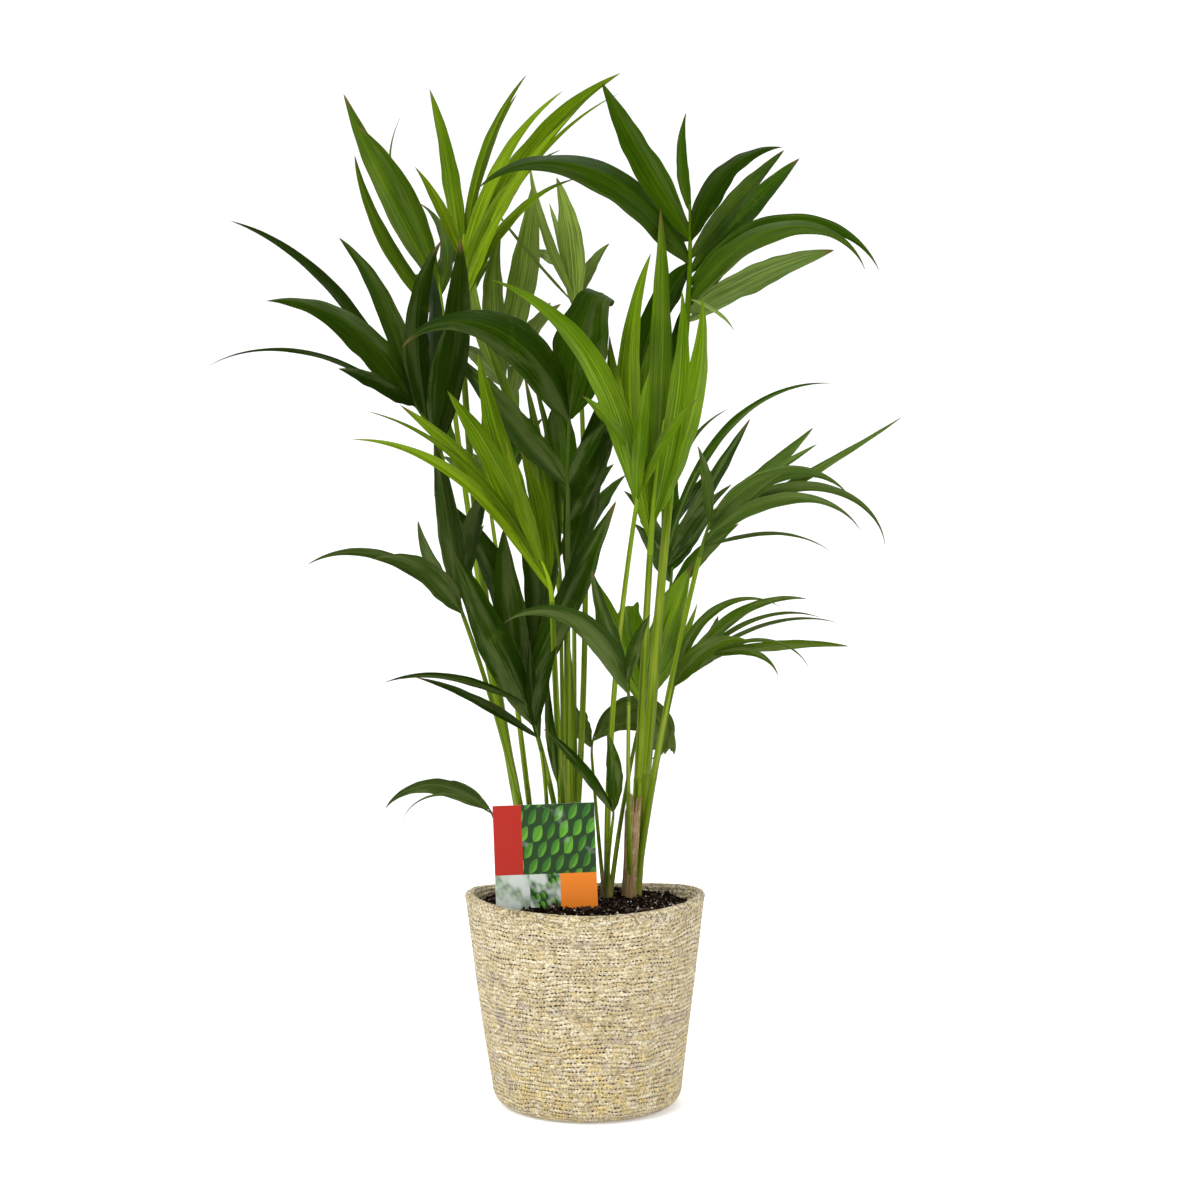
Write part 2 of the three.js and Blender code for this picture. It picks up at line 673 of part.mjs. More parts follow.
// The care tag: a stiff card pushed into the mix, one lower corner rounded.
function tag(grow = 0) {
  const { width, height, depth, thickness, corner, x, y, tilt, recline } = TAG;
  const left = -width / 2 - grow;
  const right = width / 2 + grow;
  const low = -depth - grow;
  const outline = new THREE.Shape();
  outline.moveTo(left + corner, low);
  outline.lineTo(right, low);
  outline.lineTo(right, height);
  outline.lineTo(left, height);
  outline.lineTo(left, low + corner);
  outline.quadraticCurveTo(left, low, left + corner, low);
  const total = thickness + 2 * grow;
  const card = new THREE.ExtrudeGeometry(outline, { depth: total, bevelEnabled: false, curveSegments: 4 });
  card.translate(0, 0, -total / 2).rotateX(Math.PI / 2);
  card.rotateX(radians(-recline)).rotateY(radians(tilt));
  return card.translate(x, y, SOIL.level + SOIL.crown);
}

// ---- assembly -----------------------------------------------------------------------------

const group = new THREE.Group();

function addPart(name, geometry, color, roughness) {
  const mesh = new THREE.Mesh(geometry, new THREE.MeshStandardMaterial({ color, roughness, metalness: 0 }));
  mesh.name = name;
  group.add(mesh);
}

addPart('basket', basket(), 0xcdbf95, 0.9);
addPart('potting_mix', pottingMix(), 0x241c18, 1);
addPart('care_tag', tag(), 0x3c7d2c, 0.5);
for (const key of Object.keys(STEMS)) {
  addPart(`stem_${key}`, stem(key), 0x8a8246, 0.7);
}
for (const frond of FRONDS) {
  addPart(`petiole_${frond.name}`, petiole(frond), 0x6d8a1e, 0.5);
  addPart(`frond_${frond.name}`, frondBlade(frond), TONES[frond.tone], 0.45);
}

export default group;
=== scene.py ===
"""Kentia palm in a woven seagrass basket, dressed over its solids.

Blender works in metres. The plant's sizes are given here in millimetres, and MM turns
them into metres when a mesh is made. Angles are degrees: a heading is measured from
straight up, positive towards +X; a bend is added to it along a limb; a lean tilts a limb
out of the XZ plane, positive towards +Y, the back of the plant. Along a limb, places are
given as shares of its length.
"""

from __future__ import annotations

import logging
import math
from dataclasses import dataclass, field
from enum import Enum
from typing import Callable, Sequence

import bpy
import numpy as np
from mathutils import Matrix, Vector
from numpy.typing import NDArray

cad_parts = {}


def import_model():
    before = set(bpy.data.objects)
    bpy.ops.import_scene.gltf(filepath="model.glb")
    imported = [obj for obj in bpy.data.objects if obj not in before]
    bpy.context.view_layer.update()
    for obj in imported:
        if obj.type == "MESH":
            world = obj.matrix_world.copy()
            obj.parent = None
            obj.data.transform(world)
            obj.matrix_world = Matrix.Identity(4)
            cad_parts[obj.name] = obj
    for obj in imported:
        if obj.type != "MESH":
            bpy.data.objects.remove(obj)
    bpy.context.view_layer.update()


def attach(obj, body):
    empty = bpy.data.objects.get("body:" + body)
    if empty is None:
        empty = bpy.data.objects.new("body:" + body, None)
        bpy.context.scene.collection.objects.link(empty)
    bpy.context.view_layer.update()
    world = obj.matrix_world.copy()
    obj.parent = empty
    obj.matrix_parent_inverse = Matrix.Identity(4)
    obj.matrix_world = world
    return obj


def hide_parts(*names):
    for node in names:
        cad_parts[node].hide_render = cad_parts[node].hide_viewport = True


Array = NDArray[np.float64]
Colour = tuple[float, float, float]
Spot = tuple[float, float]
Point = tuple[float, float, float]
Material = bpy.types.Material

MM = 0.001
BODY = "root"
LOG = logging.getLogger("kentia")

GOLDEN_SHARE = 0.618  # deals out angles and tones without a pattern
FOOT_SPREAD = 5.5  # from a stem's middle to the foot of a stalk
PETIOLE_TAPER = 0.66  # a stalk's radius at its end, over that at its foot
RIB_TIP_TAPER = 0.26
LONGEST_BOUND = 0.6  # the most of a stalk that a stem binds
BLADE_POWER = 1.7  # how late a leaflet's bend sets in
BLADE_HEEL = 0.16
FULL_ARCH = 110.0  # the bend at which a leaflet's point is drawn out the most
ARCH_TAPER = 0.75
FIRST_STATION = 0.12
INNER_TURN = 26.0
INNER_LEAN = (34.0, 30.0)  # the least lean of an inner leaflet and the range above it
INNER_BEND = 22.0
INNER_SHORTENING = 0.25
ROLL = (18.0, 20.0)  # the least turn of a leaflet and the range above it
SOIL_LEVEL = 198.0
SOIL_CROWN = 3.0
GROOVE_DEPTH, GROOVE_WIDTH = 0.08, 0.12  # of a stalk's groove: a share of its radius, radians squared
UNDER_SOIL = 6.0  # how far a stalk starts below the soil
INTO_STEM = 3.0  # how far its free part reaches into its stem
INTO_FROND = 1.0  # and past its end
RIB_INTO_STALK = 1.5  # how far a rib reaches back into its stalk
FLARE = 0.7  # how far a sheath stands proud of the solid's


class Tone(Enum):
    """The greens that the fronds come in, by age and light."""

    MATURE = "mature"
    DARK = "dark"
    MID = "mid"
    GOLD = "gold"
    YOUNG = "young"
    PALE = "pale"


@dataclass(frozen=True)
class Arc:
    """A limb's axis: it turns by a constant amount along its length."""

    length: float
    heading: float
    bend: float
    lean: float


@dataclass(frozen=True)
class Blade:
    """One leaflet's axis and width, and its turn about its own length."""

    station: float
    length: float
    heading: float
    bend: float
    lean: float
    width: float
    roll: float


@dataclass(frozen=True)
class FrondPlan:
    """One frond as it grows: its stalk, its rib and its leaflets.

    petiole is (length, heading, bend, lean), rib is (length, bend, lean) and carries on in
    the petiole's heading, inner is (count, side, length, width) of the leaflets out of the
    frond's plane, and each leaflet is (station, length, heading, bend, lean, seen width).
    """

    name: str
    stem: str
    tone: Tone
    girth: float
    petiole: tuple[float, float, float, float]
    rib: tuple[float, float, float]
    inner: tuple[int, int, float, float]
    leaflets: tuple[tuple[float, ...], ...]


@dataclass(frozen=True)
class StemPlan:
    """One seedling: where it stands, how high its stalks are bound, and its sheath."""

    x: float
    y: float
    bundle: float
    sheath: float
    sheath_height: float
    dry_side: float


STEMS: dict[str, StemPlan] = {
    "a": StemPlan(48, 26, 128, 8.5, 92, 0.5),
    "b": StemPlan(22, 12, 66, 6.0, 30, 0.3),
    "c": StemPlan(-14, 14, 150, 9.0, 100, 0.35),
    "d": StemPlan(-42, 2, 120, 8.5, 96, 0.1),
}

FRONDS: tuple[FrondPlan, ...] = (
    FrondPlan("top_right", "a", Tone.MATURE, 5.5, (558, 3.9, 1.9, -3.2), (136, -8, -8), (2, 1, 150, 20), (
        (0.76, 170, -34, 6, -12, 30), (0.59, 254, -40, -100, -18, 42), (0.95, 107, -11, 26, 10, 12),
        (0.75, 133, 20, 77, -20, 27), (0.62, 177, 35, 9, 22, 19), (0.52, 224, 38, 5, 30, 24),
        (0.43, 245, 42, 113, 12, 24), (0.31, 219, 38, 129, -14, 30), (0.24, 202, 57, 14, 26, 24),
        (0.17, 181, 50, 19, 38, 15), (0.34, 63, 116, 40, -20, 5), (0.59, 134, -140, -47, 20, 26),
        (0.32, 117, -164, -11, 30, 15),
    )),
    FrondPlan("young_front", "a", Tone.YOUNG, 4.6, (352, 2.0, 0.8, -13.6), (130, 6, -8), (0, 1, 100, 12), (
        (0.08, 276, -13, 35, -4, 26), (0.15, 322, 4, -6, 4, 24), (0.23, 222, 14, -19, -10, 22),
        (0.27, 231, 22, -25, 8, 26), (0.12, 221, -7, 24, 14, 22),
    )),
    FrondPlan("long_left", "b", Tone.YOUNG, 3.2, (395, -1.0, 9.5, -15.0), (80, -34, -18), (2, -1, 120, 13), (
        (0.15, 261, -11, -68, -24, 27), (0.45, 142, -15, 13, 12, 16), (0.09, 135, 1, 11, -34, 14),
    )),
    FrondPlan("pale_back", "c", Tone.PALE, 3.4, (606, 5.1, -9.1, 6.1), (86, -15, 19), (2, 1, 110, 14), (
        (0.26, 162, -25, 20, 6, 11), (0.19, 157, -44, 9, -10, 4), (0.09, 162, -2, -16, 16, 26),
        (0.41, 132, -12, -4, 30, 8),
    )),
    FrondPlan("gold_top", "d", Tone.GOLD, 4.6, (583, -12.1, 9.0, 1.8), (103, 8, 10), (2, -1, 150, 13), (
        (0.71, 205, -7, -11, 14, 19), (0.78, 242, 6, 28, 20, 11), (0.62, 209, 16, 41, -8, 16),
        (0.52, 283, 22, 39, 6, 24), (0.41, 209, 27, 27, -22, 12), (0.36, 280, 22, 41, 6, 6),
        (0.31, 188, 15, 61, -16, 15), (0.26, 189, 28, 60, -28, 14), (0.83, 219, 7, 22, 24, 9),
    )),
    FrondPlan("mid_back_left", "d", Tone.MID, 3.8, (600, -12.7, 5.5, 10.7), (104, -2, 18), (3, 1, 140, 17), (
        (0.66, 286, -28, 6, 18, 26), (0.84, 193, -18, -28, 4, 19), (0.24, 204, -39, 30, -6, 17),
        (0.9, 243, -35, 59, 24, 6), (0.6, 155, 9, -65, 30, 16),
    )),
    FrondPlan("left_mature", "d", Tone.DARK, 4.8,
              (453, -10.1, -3.5, -6.5), (72, -34, -11), (2, -1, 130, 18), (
        (0.95, 280, -30, -40, 16, 13), (0.85, 170, -33, -66, -14, 35), (0.7, 196, -14, -30, 10, 24),
        (0.67, 218, -56, -73, -24, 7), (0.47, 176, -11, 45, -8, 26), (0.13, 207, 10, -11, 4, 30),
        (0.35, 244, -1, -8, 38, 22),
    )),
    FrondPlan("centre_mature", "c", Tone.DARK, 4.4, (306, -1.1, 1.4, -11.0), (217, 1, -9), (1, -1, 100, 18), (
        (0.79, 217, -27, -124, -26, 44), (0.86, 150, -21, -86, -8, 20), (0.8, 125, 8, 13, -20, 44),
        (0.51, 183, -40, 0, 14, 26), (0.04, 204, 11, 2, 16, 32), (0.35, 124, 24, 5, 26, 26),
    )),
    FrondPlan("bright_left", "c", Tone.GOLD, 3.8, (319, -4.2, 2.6, -22.2), (60, -39, -19), (0, -1, 120, 14), (
        (0.17, 242, -30, -63, -16, 15), (0.35, 241, -29, -51, -26, 8), (0.42, 208, -32, -24, -8, 22),
        (0.57, 184, -24, -13, -14, 26), (0.75, 195, -21, 12, -4, 22), (0.35, 129, -6, -17, 10, 17),
        (0.66, 137, -20, 11, -40, 14),
    )),
    FrondPlan("thin_mid", "c", Tone.MID, 2.6, (308, -2.7, 2.6, -7.2), (74, -13, -6), (1, 1, 140, 10), (
        (0.34, 202, -9, -4, 4, 11), (0.47, 197, -2, -18, 12, 10), (0.6, 258, -16, -8, 18, 14),
    )),
    FrondPlan("left_low", "d", Tone.DARK, 3.0, (305, -8.2, -10.6, -18.3), (34, 0, -20), (1, 1, 110, 13), (
        (0.3, 164, -45, -82, -22, 14), (0.18, 116, -32, -74, -36, 25), (0.48, 150, -6, -6, -6, 21),
        (0.6, 132, 8, 16, 22, 19), (0.42, 121, -39, 29, 36, 14),
    )),
    FrondPlan("hang_left", "d", Tone.DARK, 2.6, (165, 8.6, -16.6, -20.8), (57, -19, -23), (1, -1, 110, 14), (
        (0.52, 183, -26, 4, -12, 32), (0.19, 103, -9, 12, -20, 12), (0.91, 142, -63, -49, -14, 8),
        (0.27, 152, -54, -22, -34, 9),
    )),
    FrondPlan("fan_centre", "c", Tone.DARK, 3.2, (215, -3.7, -14.4, -15.0), (51, 33, -16), (1, 1, 130, 18), (
        (0.09, 163, -11, 12, -14, 31), (0.19, 221, -7, -49, 6, 34), (0.29, 177, 15, -55, 14, 30),
        (0.02, 207, 25, 2, -10, 28), (0.6, 166, 15, 0, 34, 22),
    )),
    FrondPlan("cross_front", "a", Tone.DARK, 2.6, (227, -3.3, 3.6, -27.4), (43, -31, -19), (1, -1, 90, 13), (
        (0.25, 166, -22, -110, -20, 28), (0.5, 110, -21, 10, -4, 18),
    )),
    FrondPlan("right_back", "a", Tone.DARK, 3.2, (329, 6.9, -2.9, 5.6), (68, 2, 19), (3, 1, 160, 14), (
        (0.57, 176, 2, 63, 10, 8), (0.41, 317, 17, 74, 20, 11), (0.24, 245, 30, 2, 34, 17),
        (0.16, 47, 47, -3, -6, 7),
    )),
    FrondPlan("right_arch", "a", Tone.MATURE, 3.4, (354, 6.7, 6.6, -12.0), (49, 6, -17), (2, -1, 130, 13), (
        (0.67, 159, 41, 107, -14, 22), (0.57, 223, 53, 131, -28, 14), (0.4, 203, 53, 109, -42, 17),
        (0.61, 212, 63, -7, -8, 9), (0.89, 148, 52, -9, 20, 16), (0.99, 121, 56, 3, 6, 9),
        (0.2, 133, 72, 59, -20, 5),
    )),
    FrondPlan("right_low", "a", Tone.MID, 3.0, (213, 7.1, 5.9, 3.8), (63, 68, 15), (2, 1, 110, 12), (
        (0.14, 164, 12, 117, -16, 13), (0.27, 175, 36, 64, 12, 15), (0.46, 187, 48, 61, 24, 6),
        (0.58, 223, 58, 47, 34, 5), (0.89, 154, 80, 17, 6, 11), (0.99, 84, 76, 92, -18, 11),
        (0.95, 122, 64, 100, -10, 5), (0.08, 110, 29, 79, -34, 22),
    )),
    FrondPlan("pale_low", "b", Tone.YOUNG, 2.6, (194, 6.9, 6.3, 9.0), (63, -9, 18), (2, 1, 84, 14), (
        (0.12, 156, -17, -14, 8, 16), (0.24, 109, -15, 13, 20, 26), (0.05, 82, -32, -10, -8, 9),
        (0.38, 144, 17, 9, 14, 34), (0.3, 133, 39, -22, 30, 11),
    )),
    FrondPlan("low_back", "b", Tone.MID, 2.2, (152, -5.8, 1.4, 21.1), (37, 32, 22), (0, 1, 60, 13), (
        (0.27, 50, -30, 21, 10, 17), (0.59, 126, 34, 225, -2, 24), (0.46, 110, 46, 162, 4, 20),
    )),
    FrondPlan("low_front", "b", Tone.DARK, 2.0, (113, 0.9, 5.2, -37.3), (20, -19, -24), (0, 1, 100, 12), (
        (0.34, 108, -33, -18, -12, 11), (0.45, 75, 4, -24, -4, 16),
    )),
    FrondPlan("tag_side", "d", Tone.DARK, 2.0, (107, -30.9, 11.3, -24.2), (24, -32, -20), (0, 1, 100, 12), (
        (0.5, 112, -56, -92, -10, 19), (0.21, 112, -52, -116, -26, 4), (0.8, 68, -51, -84, 16, 13),
    )),
    FrondPlan("broad_back", "c", Tone.PALE, 3.4, (522, 6.6, -26.5, 9.4), (88, 31, 19), (4, 1, 170, 19), (
        (0.73, 202, 13, -12, 6, 31), (0.51, 149, -13, 32, -10, 25), (0.37, 157, -28, 39, 16, 16),
    )),
    FrondPlan("dark_spear", "c", Tone.DARK, 1.9, (132, -9.6, 9.6, -31.8), (26, -26, -9), (0, 1, 100, 12), (
        (0.52, 99, -9, 11, -4, 10),
    )),
    FrondPlan("far_left", "d", Tone.MATURE, 3.2, (434, -7.4, -1.8, 22.1), (73, 1, 21), (5, 1, 165, 19), (
        (0.69, 139, -53, 85, 30, 22), (0.86, 201, 24, -47, 40, 24), (0.6, 129, 6, -30, 14, 22),
    )),
    FrondPlan("far_centre", "c", Tone.MATURE, 3.2, (387, 1.8, -2.9, 23.9), (86, -3, 19), (5, 1, 140, 19), (
        (0.78, 167, -23, 42, 34, 24), (0.43, 97, -28, -74, 40, 22), (0.85, 147, -2, -23, 12, 24),
    )),
    FrondPlan("far_right", "a", Tone.MATURE, 3.0, (333, 3.0, 9.6, 20.9), (63, -14, 24), (4, 1, 150, 18), (
        (0.6, 126, 13, 47, 36, 18), (0.7, 141, -3, 16, 18, 20),
    )),
)


# ---- curves ---------------------------------------------------------------------------


def columns(*parts: Array | float) -> Array:
    """Arrays brought to one shape and set side by side along a new last axis."""
    return np.stack(np.broadcast_arrays(*parts), -1)


def direction(heading: Array, lean: Array | float) -> Array:
    """The unit direction (sin h cos l, sin l, cos h cos l) at each heading h and lean l."""
    h, l = np.radians(heading), np.radians(lean)
    return columns(np.sin(h) * np.cos(l), np.sin(l), np.cos(h) * np.cos(l))


def arc_points(start: Array, arc: Arc, t: Array) -> Array:
    """Points on a limb: the closed form of the integral of its direction.

    Args:
        start: where the limb begins.
        arc: its axis.
        t: shares of its length.

    Returns:
        One point per share.
    """
    h0 = math.radians(arc.heading)
    turn = 0.0002 if abs(arc.bend) < 0.01 else math.radians(arc.bend)
    run = arc.length * math.cos(math.radians(arc.lean))
    x = run * (math.cos(h0) - np.cos(h0 + turn * t)) / turn
    y = arc.length * math.sin(math.radians(arc.lean)) * t
    z = run * (np.sin(h0 + turn * t) - math.sin(h0)) / turn
    return start + columns(x, y, z)


def blade_points(root: Array, blade: Blade, t: Array) -> Array:
    """Points on a leaflet's axis, whose bend sets in late.

    The axis is the sum of short steps: p(t) = root + L t mean(direction(h + b s^1.7)), with
    s at the middles of equal parts of 0..t.

    Args:
        root: where the leaflet leaves its rib.
        blade: its axis.
        t: shares of its length.

    Returns:
        One point per share.
    """
    steps = 24
    s = (np.arange(steps) + 0.5) / steps * t[:, None]
    mean = direction(blade.heading + blade.bend * s**BLADE_POWER, blade.lean).mean(1)
    return root + mean * (blade.length * t)[:, None]


def blade_width(t: Array, bend: float) -> Array:
    """A leaflet's width over its greatest: max(0.16 (1 - t), sin(pi t^0.8)^0.8) (1 - 0.75 a t^1.5)."""
    lance = np.maximum(BLADE_HEEL * (1 - t), np.sin(np.pi * np.clip(t, 0, 1) ** 0.8).clip(0) ** 0.8)
    return lance * (1 - ARCH_TAPER * min(1.0, abs(bend) / FULL_ARCH) * t**1.5)


def lattice_noise(points: Array, size: float, seed: int) -> Array:
    """Smooth noise from -1 to 1: random values at whole cells, blended by 3 f^2 - 2 f^3.

    Args:
        points: an array of points, the last axis x, y, z.
        size: length of one cell.
        seed: picks the random values.

    Returns:
        One value per point.
    """
    scaled = points / size
    cell = np.floor(scaled).astype(np.int64)
    f = scaled - cell
    f = f * f * (3 - 2 * f)
    total = np.zeros(points.shape[:-1])
    for corner in np.ndindex(2, 2, 2):
        c = cell + np.array(corner)
        n = c[..., 0] * 73856093 ^ c[..., 1] * 19349663 ^ c[..., 2] * 83492791 ^ (seed * 2654435761)
        n = (n ^ (n >> 13)) * 1274126177 & 0x7FFFFFFF
        n = (n ^ (n >> 16)) * 668265263 & 0x7FFFFFFF
        weight = np.prod(np.where(np.array(corner) == 1, f, 1 - f), -1)
        total += weight * ((n & 0xFFFF) / 32767.5 - 1)
    return total


def ring_angles(count: int) -> Array:
    """Even angles round a circle, in radians."""
    return np.linspace(0, 2 * np.pi, count, endpoint=False)


def lerp(ends: Spot, share: Array) -> Array:
    """The value at a share of the way from the first end to the second."""
    return ends[0] + (ends[1] - ends[0]) * share


# ---- skins ----------------------------------------------------------------------------


@dataclass
class Skin:
    """Points, faces and per-point paint of one or more closed surfaces."""

    points: Array
    faces: list[tuple[int, ...]]
    paint: dict[str, Array] = field(default_factory=dict)

    def volume(self) -> float:
        """Measures what the faces enclose: the sum of p0 . (p1 x p2) over their triangles.

        Returns:
            Six times the volume, negative where the faces point inwards.
        """
        total = 0.0
        by_size: dict[int, list[tuple[int, ...]]] = {}
        for face in self.faces:
            by_size.setdefault(len(face), []).append(face)
        for faces in by_size.values():
            corner = self.points[np.array(faces)]
            for k in range(1, corner.shape[1] - 1):
                cross = np.cross(corner[:, k], corner[:, k + 1])
                total += float((corner[:, 0] * cross).sum())
        return total

    def outward(self) -> Skin:
        """Turns the faces to point outwards.

        Returns:
            The skin itself.
        """
        if self.volume() < 0:
            self.faces = [face[::-1] for face in self.faces]
        return self

    def place(self, name: str, slot: str, node: str, material: Material, sharp: float = 180) -> None:
        """Makes the skin a piece of the plant's one body, in metres, in place of its solid.

        Args:
            name: the piece's name.
            slot: the record's material slot; not used.
            node: the CAD node that it stands for.
            material: its finish.
            sharp: degrees past which an edge stays sharp.
        """
        mesh = bpy.data.meshes.new(name)
        mesh.from_pydata((self.points * MM).tolist(), [], self.faces)
        for key, values in self.paint.items():
            kind, channel = ("FLOAT_VECTOR", "vector") if values.ndim == 2 else ("FLOAT", "value")
            attribute = mesh.attributes.new(key, kind, "POINT")
            attribute.data.foreach_set(channel, values.astype(np.float32).ravel())
        mesh.shade_smooth()
        if sharp < 180:
            mesh.set_sharp_from_angle(angle=math.radians(sharp))
        mesh.materials.append(material)
        mesh.update()
        piece = bpy.data.objects.new(name, mesh)
        bpy.context.scene.collection.objects.link(piece)
        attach(piece, BODY)
        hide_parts(node)
        triangles = sum(len(p.vertices) - 2 for p in mesh.polygons)
        LOG.info("%s: %d triangles for %s", name, triangles, node)


def tube(rings: Array, paint: dict[str, Array], start: Array | None = None, end: Array | None = None) -> Skin:
    """A closed skin through rings of points, each end closed by a fan to one point.

    Args:
        rings: points[ring, around, xyz].
        paint: for each attribute, values[ring, around] or [ring, around, 3].
        start: the point that closes the first ring; its middle if None.
        end: the point that closes the last ring; its middle if None.

    Returns:
        The skin, facing outwards.
    """
    count, around = rings.shape[:2]
    n = count * around
    first = rings[0].mean(0) if start is None else start
    last = rings[-1].mean(0) if end is None else end
    points = np.concatenate([rings.reshape(-1, 3), first[None], last[None]])
    k = np.arange(around)
    after = (k + 1) % around
    row = np.arange(count - 1)[:, None] * around
    quads = columns(row + k, row + after, row + after + around, row + k + around).reshape(-1, 4)
    fan_start = columns(after, k, n)
    fan_end = columns(k, after, around + 1) + n - around
    faces = [tuple(face) for part in (quads, fan_start, fan_end) for face in part.tolist()]
    painted = {}
    for name, values in paint.items():
        ends = np.stack([values[0].mean(0), values[-1].mean(0)])
        painted[name] = np.concatenate([values.reshape((n,) + values.shape[2:]), ends])
    return Skin(points, faces, painted).outward()


def merge(skins: Sequence[Skin]) -> Skin:
    """Several skins with the same paint as one.

    Args:
        skins: the skins.

    Returns:
        One skin that holds them all.
    """
    faces: list[tuple[int, ...]] = []
    shift = 0
    for skin in skins:
        faces += [tuple(v + shift for v in face) for face in skin.faces]
        shift += len(skin.points)
    paint = {name: np.concatenate([s.paint[name] for s in skins]) for name in skins[0].paint}
    return Skin(np.concatenate([s.points for s in skins]), faces, paint)


def spokes(angle: Array, height: Array) -> Array:
    """Paint for heights[ring, around]: the cosine and sine of the angle, and metres of height."""
    return columns(np.cos(angle), np.sin(angle), height * MM)


@dataclass(frozen=True)
class Limb:
    """A tapering stalk with fine lengthwise ribs and a shallow groove along its inner face.

    Its span is the shares of the axis between which the skin is made, radii are those at
    each end, around is how many points a ring has, and step is the length between rings.
    """

    start: Array
    arc: Arc
    span: tuple[float, float]
    radii: tuple[float, float]
    around: int
    step: float
    seed: int
    ribbing: float = 0.03

    def skin(self) -> Skin:
        """Makes it: radius = r(t) (1 + ribbing cos(7 a + s) + half as much noise - the groove).

        Returns:
            The skin, whose paint stalk is (share along, relief, the stalk's own share).
        """
        arc, (low, high) = self.arc, self.span
        t = np.linspace(low, high, max(4, int(arc.length * (high - low) / self.step)))
        centre = arc_points(self.start, arc, t)
        along = direction(arc.heading + arc.bend * t, arc.lean)
        side = np.cross(np.array([0.0, 1.0, 0.0]), along)
        side /= np.linalg.norm(side, axis=1, keepdims=True)
        front = np.cross(along, side)
        angle = ring_angles(self.around)
        share = (t - low) / (high - low)
        radius = lerp(self.radii, share)[:, None]
        spoke = side[:, None] * np.cos(angle)[:, None] + front[:, None] * np.sin(angle)[:, None]
        noise = lattice_noise(centre[:, None] * [1, 1, 0.12] + spoke * 6, 4.0, 11 + self.seed)
        from_front = np.angle(np.exp(1j * (angle - np.pi / 2)))
        groove = GROOVE_DEPTH * np.exp(-(from_front**2) / GROOVE_WIDTH)
        relief = 1 + self.ribbing * np.cos(7 * angle + self.seed) + 0.5 * self.ribbing * noise - groove
        rings = centre[:, None] + spoke * (radius * relief)[:, :, None]
        stalk = columns(share[:, None], relief - 1, (self.seed * GOLDEN_SHARE) % 1)
        return tube(rings, {"stalk": stalk, "spoke": spokes(angle, rings[..., 2])})


# ---- finishes -------------------------------------------------------------------------


def written_as(operation: str, swapped: bool = False) -> Callable[..., Wire]:
    """A method that puts a wire and another number through a Math node.

    Args:
        operation: what the node does with them.
        swapped: whether the other number comes first.

    Returns:
        The method.
    """

    def method(self: Wire, other: object = 0.0) -> Wire:
        """Puts this wire and the other number, or wire, through the node."""
        first, second = (other, self) if swapped else (self, other)
        return self.shader.node("Math", {0: first, 1: second}, operation=operation)

    return method


class Wire:
    """What one output carries through a node tree. Sums on wires become Math nodes."""

    def __init__(self, shader: Shader, socket: bpy.types.NodeSocket) -> None:
        """Holds the output, and the shader that it belongs to."""
        self.shader = shader
        self.socket = socket

    __add__ = __radd__ = written_as("ADD")
    __sub__ = written_as("SUBTRACT")
    __rsub__ = written_as("SUBTRACT", swapped=True)
    __mul__ = __rmul__ = written_as("MULTIPLY")
    __truediv__ = written_as("DIVIDE")
    __mod__ = written_as("MODULO")
    __abs__ = written_as("ABSOLUTE")
    above = written_as("GREATER_THAN")
    below = written_as("LESS_THAN")
    larger = written_as("MAXIMUM")
    pingpong = written_as("PINGPONG")
    atan2 = written_as("ARCTAN2")
    floor = written_as("FLOOR")
    fract = written_as("FRACT")
    sign = written_as("SIGN")
    sine = written_as("SINE")

    def of(self, key: object) -> Wire:
        """Another output of the node that this wire comes from."""
        return Wire(self.shader, self.socket.node.outputs[key])

    def split(self) -> tuple[Wire, Wire, Wire]:
        """The x, y and z of this vector."""
        made = self.shader.node("SeparateXYZ", {0: self})
        return made.of(0), made.of(1), made.of(2)

    def ramp(self, low: float, high: float, start: float = 0.0, end: float = 1.0) -> Wire:
        """Maps low..high smoothly onto start..end, and keeps to them outside."""
        ends = {"Value": self, "From Min": low, "From Max": high, "To Min": start, "To Max": end}
        return self.shader.node("MapRange", ends, interpolation_type="SMOOTHSTEP")


MIX_SHARE, MIX_UNDER, MIX_OVER, MIX_RESULT = 0, 6, 7, 2  # where the Mix node keeps its colour sockets


